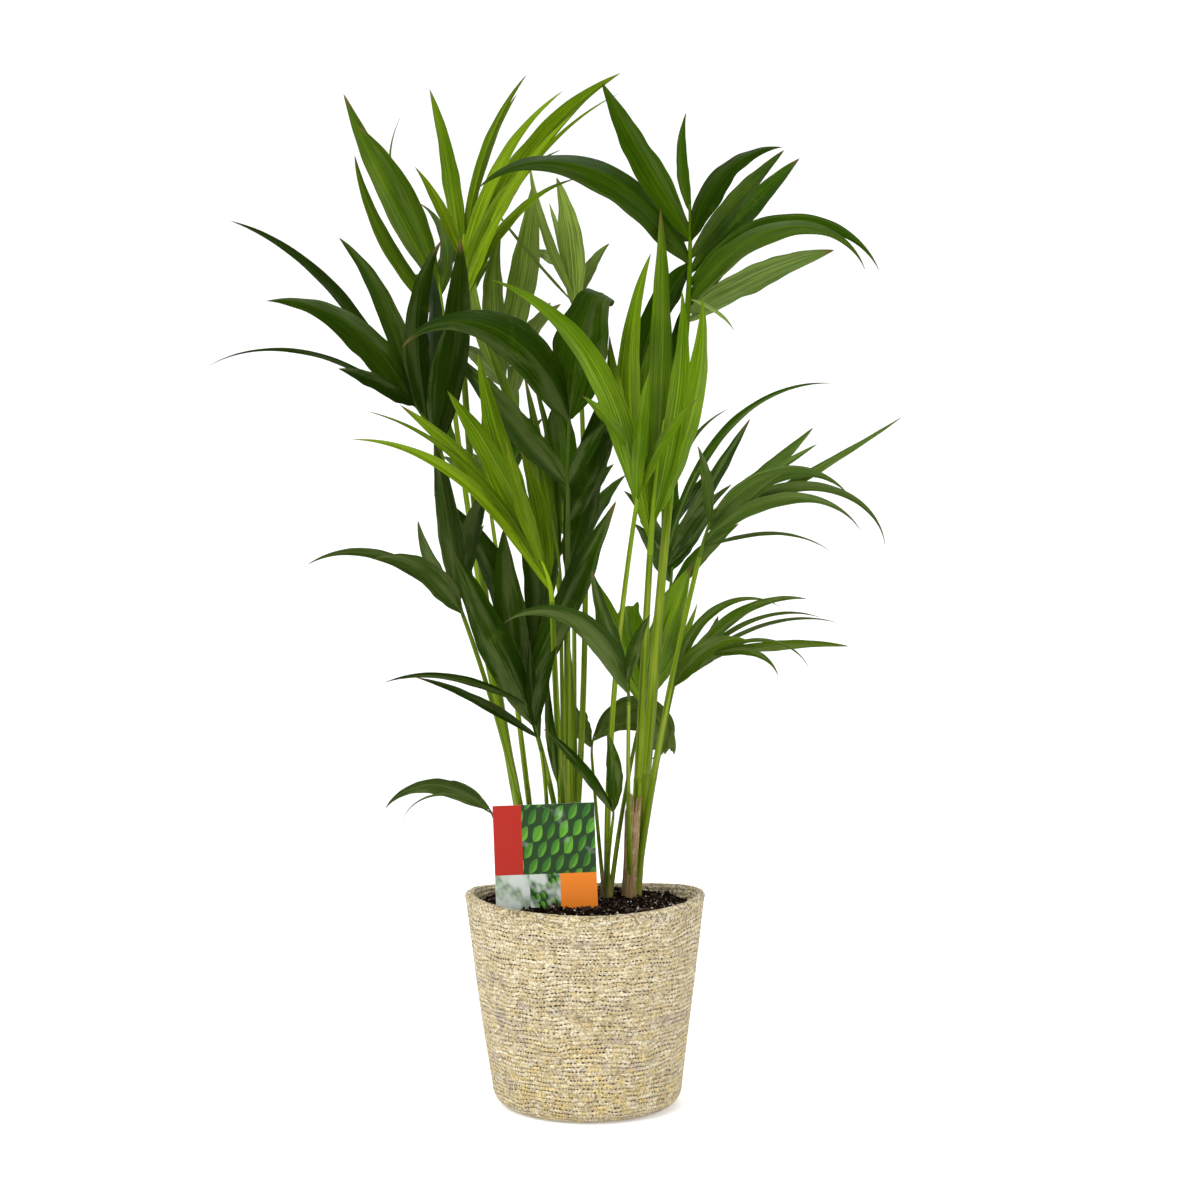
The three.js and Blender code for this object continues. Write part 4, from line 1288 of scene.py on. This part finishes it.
            jag = rng.uniform(0.0, 1.0, shape.lanes)
            depth = np.concatenate([jag, jag[-2:0:-1]]) * shape.tear * shape.torn
            rings = rings - along[:, None] * (depth * t**9)[:, :, None]
            tip = tip - along[-1] * shape.tear * shape.torn
        lift = LIFTS.get(name, 0.0) + LEAFLET_LIFTS.get(name, {}).get(index, 0.0)
        lighter, yellower = lift + rng.normal(0, 0.11), rng.uniform(0, 1) ** 2
        browner = (1.0 if rng.random() < 0.45 + shape.torn else 0.15) * (1 - full)
        dull = DULL_LEAFLETS.get(name, {}).get(index, DULL_FRONDS.get(name, 0.0))
        paint = {
            "leaf_place": columns(t, lanes, under),
            "leaf_tint": columns(np.full(height.shape, lighter), yellower, browner),
            "leaf_dull": np.full(height.shape, dull),
        }
        return tube(rings, paint, end=tip)

    def rib_skin(self) -> Skin:
        """Makes the rib: it begins a little inside the stalk's end and tapers to its tip.

        Returns:
            Its closed skin.
        """
        girth, rib = self.plan.girth, self.rib()
        span, radii = (-RIB_INTO_STALK / rib.length, 1.0), (PETIOLE_TAPER * girth, RIB_TIP_TAPER * girth)
        skin = Limb(self.stalk_top(), rib, span, radii, around=12, step=5.0, seed=self.number).skin()
        zero = np.zeros(len(skin.points))
        skin.paint = {
            "leaf_place": columns(0.5 * skin.paint["stalk"][:, 0], 0.0, 0.0),
            "leaf_tint": columns(zero + 0.05, 0.6, 0.0),
            "leaf_dull": zero,
        }
        return skin

    def bound_part(self) -> Skin:
        """Makes the part of the stalk that its stem binds, from a little under the soil.

        Returns:
            Its closed skin.
        """
        arc, end = self.petiole(), self.bound()
        span, radii = (-UNDER_SOIL / arc.length, end), (self.radius(0.0), self.radius(end))
        return Limb(self.foot(), arc, span, radii, 24, step=4.0, seed=self.number + 40, ribbing=0.05).skin()

    def build(self, stalk: Material, leaf: Material) -> None:
        """Makes the free part of the stalk, and the rib with its leaflets.

        Args:
            stalk: the stalk finish.
            leaf: the frond's leaf finish.
        """
        name, arc = self.plan.name, self.petiole()
        start = self.bound() - INTO_STEM / arc.length
        span, radii = (start, 1.0 + INTO_FROND / arc.length), (self.radius(start), self.radius(1.0))
        free = Limb(self.foot(), arc, span, radii, 24, step=6.0, seed=self.number, ribbing=0.035).skin()
        free.place(f"{name}_stalk", "petiole", f"petiole_{name}", stalk)
        skins = [self.rib_skin()] + [self.leaflet(blade, i) for i, blade in enumerate(self.blades())]
        merge(skins).place(f"{name}_leaflets", f"frond_{self.plan.tone.value}", f"frond_{name}", leaf, 70.0)


# ---- stems ----------------------------------------------------------------------------


# A dry husk clings to two of the stems: its foot, its top, its height and its two radii.
HUSKS: dict[str, tuple[Spot, Spot, float, tuple[float, float]]] = {
    "a": ((44.5, 17.0), (51.6, -8.0), 110.0, (7.4, 5.6)),
    "c": ((-20.0, 6.0), (-23.5, 5.0), 116.0, (3.6, 1.7)),
}


@dataclass
class Stem:
    """One seedling's stem: the bound feet of its stalks in an old fibrous sheath."""

    key: str
    plan: StemPlan
    fronds: list[Frond]
    around: int = 72
    rows: int = 52
    ragged: float = 92.0
    sunk: float = 3.0
    most_dry: float = 0.95

    def sleeve(self, foot: Spot, top: Spot, height: float, radii: Spot, dryness: Spot) -> Skin:
        """Makes a sleeve of old fibres: it tapers and leans from foot to top, with a ragged end.

        radius = r(u) (1 + 0.06 fibre noise + 0.1 lump noise), u the share of its height; the
        top edge is cut back by up to a third of 92 mm, by noise round it.

        Args:
            foot: its middle at the soil.
            top: its middle at full height.
            height: its height over the soil.
            radii: its radius at the foot and at the top.
            dryness: how dry it is all over, and how much drier on its left.

        Returns:
            Its closed skin.
        """
        angle = ring_angles(self.around)
        u = np.linspace(0, 1, self.rows)[:, None]
        circle = columns(np.cos(angle), np.sin(angle), 0.0)
        cut = 0.16 * (lattice_noise(circle * 3, 1.0, 5) + lattice_noise(circle * 14, 1.0, 6) - 1.0)
        end = height + self.ragged * np.clip(cut, -0.34, 0.0)
        z = SOIL_LEVEL - self.sunk + (end + self.sunk) * u
        sample = columns(circle[:, 0], circle[:, 1], z / 60)
        fibre = lattice_noise(sample * [9, 9, 1.6], 1.0, 7)
        fibre = fibre + 0.6 * lattice_noise(sample * [26, 26, 2.2], 1.0, 8)
        lump = lattice_noise(sample * [1.4, 1.4, 2.5], 1.0, 9)
        share = (z - SOIL_LEVEL) / height
        radius = lerp(radii, share) * (1 + 0.06 * fibre + 0.1 * lump)
        x, y = lerp((foot[0], top[0]), share), lerp((foot[1], top[1]), share)
        rings = columns(x + radius * np.cos(angle), y + radius * np.sin(angle), z)
        left = 0.5 - 0.5 * np.cos(angle)
        dry = np.clip(dryness[0] + dryness[1] * left + 0.2 * (1 - share), 0, self.most_dry)
        return tube(rings, {"stalk": columns(share, 0.04 * fibre, 2 + dry), "spoke": spokes(angle, z)})

    def build(self, material: Material) -> None:
        """Makes the sheath, the husk where there is one, and the bound stalks, as one piece.

        Args:
            material: the stalk finish.
        """
        plan, middle = self.plan, (self.plan.x, self.plan.y)
        radii = (plan.sheath + FLARE, 0.62 * plan.sheath + FLARE)
        skins = [self.sleeve(middle, middle, plan.sheath_height, radii, (0.0, 2.2 * plan.dry_side))]
        if self.key in HUSKS:
            skins.append(self.sleeve(*HUSKS[self.key], (0.9, 0.0)))
        skins += [frond.bound_part() for frond in self.fronds]
        merge(skins).place(f"bound_stem_{self.key}", "stem", f"stem_{self.key}", material)


# ---- basket ---------------------------------------------------------------------------


def basket_shift(z: Array) -> Array:
    """How far right of its middle the slumped basket stands at each height, in millimetres."""
    return 3.4 - 2.0 * z / 205.0


@dataclass(frozen=True)
class Basket:
    """The woven pot: rows of twisted cord stitched edge to edge, one above the other."""

    height: float = 205.0
    rim_radius: float = 120.5
    foot_radius: float = 94.5
    foot_round: float = 18.0
    wall: float = 7.0
    rim_roll: float = 5.0
    floor: float = 8.0
    pitch: float = 4.2
    relief: float = 0.34
    around: int = 372
    saddle: float = 4.2
    hair: float = 0.3
    sway: float = 1.3
    lip_wave: float = 1.1
    noise_radius: float = 110.0

    def outer(self, z: Array) -> Array:
        """The wall's outer radius at each height."""
        share = (z - self.foot_round) / (self.height - self.foot_round)
        return self.foot_radius + (self.rim_radius - self.foot_radius) * share

    def profile(self) -> tuple[Array, Array]:
        """The section from the middle of the underside, over the rim, to the middle of the floor.

        Returns:
            Points (radius, height), and how far each carries the rows' relief, from 0 to 1.
        """
        arc = np.linspace(0, np.pi / 2, 24)
        foot_radii = self.outer(self.foot_round) - self.foot_round * (1 - np.sin(arc))
        foot = columns(foot_radii, self.foot_round * (1 - np.cos(arc)))
        top = self.height - self.rim_roll
        z = np.linspace(self.foot_round, top, 170)[1:]
        wall = columns(self.outer(z), z)
        roll = np.linspace(0, np.pi, 14)[1:]
        middle = float(self.outer(self.height)) - self.rim_roll
        rim = columns(middle + self.rim_roll * np.cos(roll), top + self.rim_roll * np.sin(roll))
        inner_z = np.linspace(top, 176, 22)[1:]
        inner = columns(self.outer(inner_z) - 2 * self.rim_roll, inner_z)
        hidden_wall = float(self.outer(100.0)) - self.wall
        below = np.array([[hidden_wall, 100.0], [87.5, 18.0], [79.5, 8.0], [40.0, 8.0], [1.0, 8.0]])
        under = columns(np.linspace(1.0, foot[0, 0], 8)[:-1], 0.0)
        shown = np.ones(len(wall) + len(rim) + len(inner))
        worked = np.concatenate([np.zeros(7), np.linspace(0, 1, 24), shown, np.zeros(5)])
        return np.concatenate([under, foot, wall, rim, inner, below]), worked

    def build(self, material: Material) -> None:
        """Makes the basket in place of its solid.

        Each point moves along the section's normal by relief (|sin(pi row)|^0.7 - 0.8) plus
        crumbs of a few tenths, where row is the length of the section over the pitch plus a
        slow drift round the basket; the whole wall also moves in and out by a millimetre or
        so, as soft walls do, and its lip rises by saddle cos 2a, a being the angle round it.

        Args:
            material: the straw finish.
        """
        section, worked = self.profile()
        length = np.concatenate([[0], np.cumsum(np.linalg.norm(np.diff(section, axis=0), axis=1))])
        edge = np.gradient(section, axis=0)
        edge /= np.linalg.norm(edge, axis=1, keepdims=True)
        angle = ring_angles(self.around)
        circle = columns(np.cos(angle), np.sin(angle))
        out, up, worked = section[:, :1], section[:, 1:], worked[:, None]
        spot = columns(circle[:, 0] * self.noise_radius, circle[:, 1] * self.noise_radius, up)
        drift = 0.9 * lattice_noise(spot * [1, 1, 0.7], 46.0, 21) + 0.5 * lattice_noise(spot, 15.0, 22)
        row = length[:, None] / self.pitch + drift
        slub = lattice_noise(spot * [1, 1, 3.2], 13.0, 23)
        cord = self.relief * (1 + 0.5 * slub) * (np.abs(np.sin(np.pi * row)) ** 0.7 - 0.8)
        hair = self.hair * lattice_noise(spot, 3.1, 26)
        sway = self.sway * lattice_noise(spot, 90.0, 24) * np.clip(up / 60, 0, 1)
        move = worked * (cord + hair + sway)
        radial = out + edge[:, 1:] * move
        lift = up - edge[:, :1] * move
        wave = self.lip_wave * lattice_noise(spot * [1, 1, 0], 70.0, 25)
        lift = lift + wave * np.clip((up - 150) / 55, 0, 1)
        lift = lift + (self.saddle * np.cos(2 * angle) + 0.6) * np.clip((up - 110) / 95, 0, 1) ** 2
        lift = np.maximum(lift, np.where(worked > 0, 0.0, up))
        rings = np.concatenate([radial[:, :, None] * circle, lift[:, :, None]], -1)
        rings[..., 0] += basket_shift(rings[..., 2])
        skin = tube(rings, {"row": row}, start=np.zeros(3), end=np.array([0, 0, self.floor]))
        skin.place("woven_basket", "basket", "basket", material)


# ---- potting mix ----------------------------------------------------------------------


@dataclass(frozen=True)
class PottingMix:
    """The mix that fills the basket: a lumpy surface, strewn with chips and grains."""

    edge: float = 109.6
    crown_radius: float = 78.0
    fall: float = 5.0
    around: int = 200
    rows: int = 62
    chips: int = 2600
    chip_kinds: tuple[float, ...] = (0.0, 0.6, 1.0)
    chip_shares: tuple[float, ...] = (0.6, 0.29, 0.11)

    def surface(self, x: Array, y: Array) -> Array:
        """The height of the mix at each place.

        201 within 78 mm of the middle, falling to 196 at the edge, with lumps of 12, 5 and
        2 mm.

        Args:
            x: places.
            y: places.

        Returns:
            Heights.
        """
        share = np.clip((np.hypot(x, y) - self.crown_radius) / (self.edge - self.crown_radius), 0, 1)
        flat = columns(x, y, 0.0)
        lumps = 1.1 * lattice_noise(flat, 12.0, 31) + 0.9 * lattice_noise(flat, 5.0, 32)
        lumps = lumps + 0.5 * lattice_noise(flat, 2.2, 33)
        return SOIL_LEVEL + SOIL_CROWN - self.fall * share * share * (3 - 2 * share) + lumps - 0.6

    def body(self) -> Skin:
        """Makes the mix itself, down to the basket's floor.

        Returns:
            Its closed skin.
        """
        angle = ring_angles(self.around)
        radii = self.edge * np.linspace(1, 0, self.rows)[:-1, None] ** 0.85
        x, y = radii * np.cos(angle), radii * np.sin(angle)
        top = columns(x, y, self.surface(x, y))
        r, z = np.array([[78.0, 86.0, 97.0, 108.0], [8.4, 18.0, 100.0, 186.0]])[:, :, None]
        side = columns(r * np.cos(angle), r * np.sin(angle), z)
        rings = np.concatenate([side, top])
        rings[..., 0] += basket_shift(rings[..., 2])
        return tube(rings, {"grade": np.zeros(rings.shape[:2])})

    def strewn(self) -> Skin:
        """Makes the loose chips: squashed, turned eight-cornered lumps half sunk in the mix.

        Returns:
            All the chips as one skin.
        """
        rng = np.random.default_rng(77)
        count = self.chips
        r = self.edge * np.sqrt(rng.uniform(0, 1, count)) * 0.985
        a = rng.uniform(0, 2 * np.pi, count)
        x, y = r * np.cos(a), r * np.sin(a)
        grade = rng.choice(self.chip_kinds, count, p=self.chip_shares)
        size = rng.gamma(4.0, 0.34, count) * np.where(grade > 0.9, 0.42, 1.0) + 0.35
        corners = np.array([[i, j, k] for k in (-1, 1) for j in (-1, 1) for i in (-1, 1)], float)
        quads = np.array([[0, 2, 3, 1], [4, 5, 7, 6], [0, 1, 5, 4], [2, 6, 7, 3], [0, 4, 6, 2], [1, 3, 7, 5]])
        uneven = rng.uniform(0.35, 1.0, (count, 8, 3))
        stretch = size[:, None] * rng.uniform([0.8, 0.5, 0.3], [1.6, 1.0, 0.7], (count, 3))
        shape = corners[None] * uneven * stretch[:, None]
        turn = rng.normal(size=(count, 4))
        turn /= np.linalg.norm(turn, axis=1, keepdims=True)
        w, v = turn[:, None, :1], np.broadcast_to(turn[:, None, 1:], shape.shape)
        cross = np.cross(v, shape) * 2
        shape = shape + w * cross + np.cross(v, cross)
        centre = columns(x, y, self.surface(x, y) + 0.25 * size)
        points = (shape + centre[:, None]).reshape(-1, 3)
        faces = (quads[None] + 8 * np.arange(count)[:, None, None]).reshape(-1, 4)
        return Skin(points, [tuple(f) for f in faces.tolist()], {"grade": np.repeat(grade, 8)}).outward()

    def build(self, material: Material) -> None:
        """Makes the mix and its chips in place of its solid."""
        whole = merge([self.body(), self.strewn()])
        whole.place("potting_mix_lumps", "potting_mix", "potting_mix", material, 50.0)


# ---- care tag -------------------------------------------------------------------------


@dataclass(frozen=True)
class CareTag:
    """A stiff plastic-coated card pushed into the mix, its lower left corner rounded."""

    width: float = 98.0
    height: float = 100.0
    depth: float = 26.0
    thickness: float = 0.9
    corner: float = 7.0
    soft_corner: float = 1.2
    x: float = -35.5
    y: float = -61.0
    tilt: float = -2.2
    recline: float = 1.5
    bow: float = 0.6
    bevel: float = 0.9985

    def outline(self) -> Array:
        """The card's edge: a rounding at each corner, and even steps between them.

        Returns:
            Points (across, up) from the card's middle line and the mix.
        """
        w, low, top, soft, corner = self.width / 2, -self.depth, self.height, self.soft_corner, self.corner
        arcs = [
            (w - soft, low + soft, soft, -90),
            (w - soft, top - soft, soft, 0),
            (-w + soft, top - soft, soft, 90),
            (-w + corner, low + corner, corner, 180),
        ]
        parts = []
        for i, (cx, cz, r, start) in enumerate(arcs):
            a = np.radians(start + np.linspace(0, 90, 9))
            parts.append(columns(cx + r * np.cos(a), cz + r * np.sin(a)))
            cx, cz, r, start = arcs[(i + 1) % 4]
            goal = np.array([cx + r * math.cos(math.radians(start)), cz + r * math.sin(math.radians(start))])
            steps = np.linspace(0, 1, 18)[1:-1, None]
            parts.append(parts[-1][-1] * (1 - steps) + goal * steps)
        return np.concatenate(parts)

    def build(self, material: Material) -> None:
        """Makes the card in place of its solid.

        Rings of its outline, from the front's middle out to the edge and back to the back's
        middle, close it. It bows forwards by up to 0.6 mm.

        Args:
            material: the card's finish.
        """
        w, half, count = self.width / 2, self.thickness / 2, 12
        middle = np.array([0.0, (self.height - self.depth) / 2])
        growing, shrinking = np.linspace(0.06, 1, count), np.linspace(1, 0.06, count)
        growing[-1] = shrinking[0] = self.bevel
        shares = np.concatenate([growing, [1.0], shrinking])
        flat = middle + (self.outline()[None] - middle) * shares[:, None, None]
        depth = np.concatenate([np.full(count, -half), [0.0], np.full(count, half)])[:, None]
        bend = -self.bow * (1 - (flat[..., 0] / w) ** 2)
        points = columns(flat[..., 0], depth + bend, flat[..., 1])
        a, b = math.radians(-self.recline), math.radians(self.tilt)
        lay = np.array([[1, 0, 0], [0, math.cos(a), -math.sin(a)], [0, math.sin(a), math.cos(a)]])
        lean = np.array([[math.cos(b), 0, math.sin(b)], [0, 1, 0], [-math.sin(b), 0, math.cos(b)]])
        points = points @ (lean @ lay).T + np.array([self.x, self.y, SOIL_LEVEL + SOIL_CROWN])
        front = (np.arange(len(shares)) < count)[:, None]
        paint = columns((flat[..., 0] + w) / self.width, flat[..., 1] / self.height, front)
        tube(points, {"card_place": paint}).place("care_tag_card", "care_tag", "care_tag", material, 40.0)


# ---- studio ---------------------------------------------------------------------------


class Studio:
    """A pale seamless sweep, soft lights all round and the camera."""

    def build(self) -> None:
        """Makes the stage, the lights and the camera."""
        self.sweep()
        self.light("key", (-1.6, -2.2, 2.4), 0.5, 1.3, 74.0)
        self.light("fill", (2.2, -1.8, 1.5), 0.5, 2.0, 14.0)
        self.light("top", (0.1, 0.4, 2.9), 0.4, 1.6, 42.0)
        self.light("back", (0.3, 2.4, 1.6), 0.6, 2.0, 13.0)
        world = bpy.data.worlds.new("studio")
        bpy.context.scene.world = world
        world.use_nodes = True
        background = next(n for n in world.node_tree.nodes if n.type == "BACKGROUND")
        background.inputs["Color"].default_value = (1, 1, 1, 1)
        background.inputs["Strength"].default_value = 0.22
        bpy.context.scene.view_settings.view_transform = "Standard"
        self.camera()

    def sweep(self) -> None:
        """Makes the floor, curving up into the backdrop: z = (r - 3.2)^2 / 2 past 3.2 m."""
        side, reach, flat_to, drop = 61, 7.0, 3.2, 0.0004
        x, y = np.meshgrid(np.linspace(-reach, reach, side), np.linspace(-reach, reach, side))
        z = np.clip(np.hypot(x, y) - flat_to, 0, None) ** 2 / 2 - drop
        i, j = np.meshgrid(np.arange(side - 1), np.arange(side - 1), indexing="ij")
        a = (i * side + j).ravel()
        mesh = bpy.data.meshes.new("sweep")
        faces = columns(a, a + 1, a + side + 1, a + side)
        mesh.from_pydata(columns(x, y, z).reshape(-1, 3).tolist(), [], faces.tolist())
        mesh.shade_smooth()
        mesh.materials.append(PaperFinish().build("sweep_paper"))
        floor = bpy.data.objects.new("sweep", mesh)
        bpy.context.scene.collection.objects.link(floor)

    def light(self, name: str, where: Point, aim: float, size: float, power: float) -> None:
        """Hangs a soft square light.

        Args:
            name: its name.
            where: its place, in metres.
            aim: the height of the point over the pot that it faces.
            size: its side in metres.
            power: watts.
        """
        lamp = bpy.data.lights.new(name, "AREA")
        lamp.size = size
        lamp.energy = power
        piece = bpy.data.objects.new(name, lamp)
        piece.location = where
        piece.rotation_euler = (Vector((0, 0, aim)) - Vector(where)).to_track_quat("-Z", "Y").to_euler()
        bpy.context.scene.collection.objects.link(piece)

    def camera(self) -> None:
        """Sets up the camera: level, at two fifths of the plant's height, from the front."""
        lens = bpy.data.cameras.new("camera")
        lens.lens = 48.0
        lens.sensor_width = 36.0
        lens.shift_x = 0.0133
        lens.shift_y = 0.0567
        piece = bpy.data.objects.new("camera", lens)
        piece.location = (0.0, -1.6, 0.432)
        piece.rotation_euler = (math.pi / 2, 0, 0)
        bpy.context.scene.collection.objects.link(piece)
        bpy.context.scene.camera = piece


class Kentia:
    """The whole plant: basket, mix, tag, four stems and their fronds."""

    def __init__(self) -> None:
        """Numbers the fronds and gives each its stem."""
        self.fronds = [Frond(plan, STEMS[plan.stem], i) for i, plan in enumerate(FRONDS)]

    def build(self) -> None:
        """Makes every piece with its finish."""
        leaves = {tone: finish.build(f"frond_{tone.value}_leaf") for tone, finish in LEAF_FINISHES.items()}
        stalk = StalkFinish().build("petiole_green")
        Basket().build(StrawFinish().build("dried_seagrass"))
        PottingMix().build(MixFinish().build("bark_and_peat"))
        CareTag().build(CardFinish().build("printed_card"))
        for key, plan in STEMS.items():
            Stem(key, plan, [frond for frond in self.fronds if frond.plan.stem == key]).build(stalk)
        for frond in self.fronds:
            frond.build(stalk, leaves[frond.plan.tone])


def main() -> None:
    """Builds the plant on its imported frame."""
    logging.basicConfig(level=logging.INFO, format="%(message)s")
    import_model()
    Kentia().build()
    Studio().build()


if __name__ == "__main__":
    main()
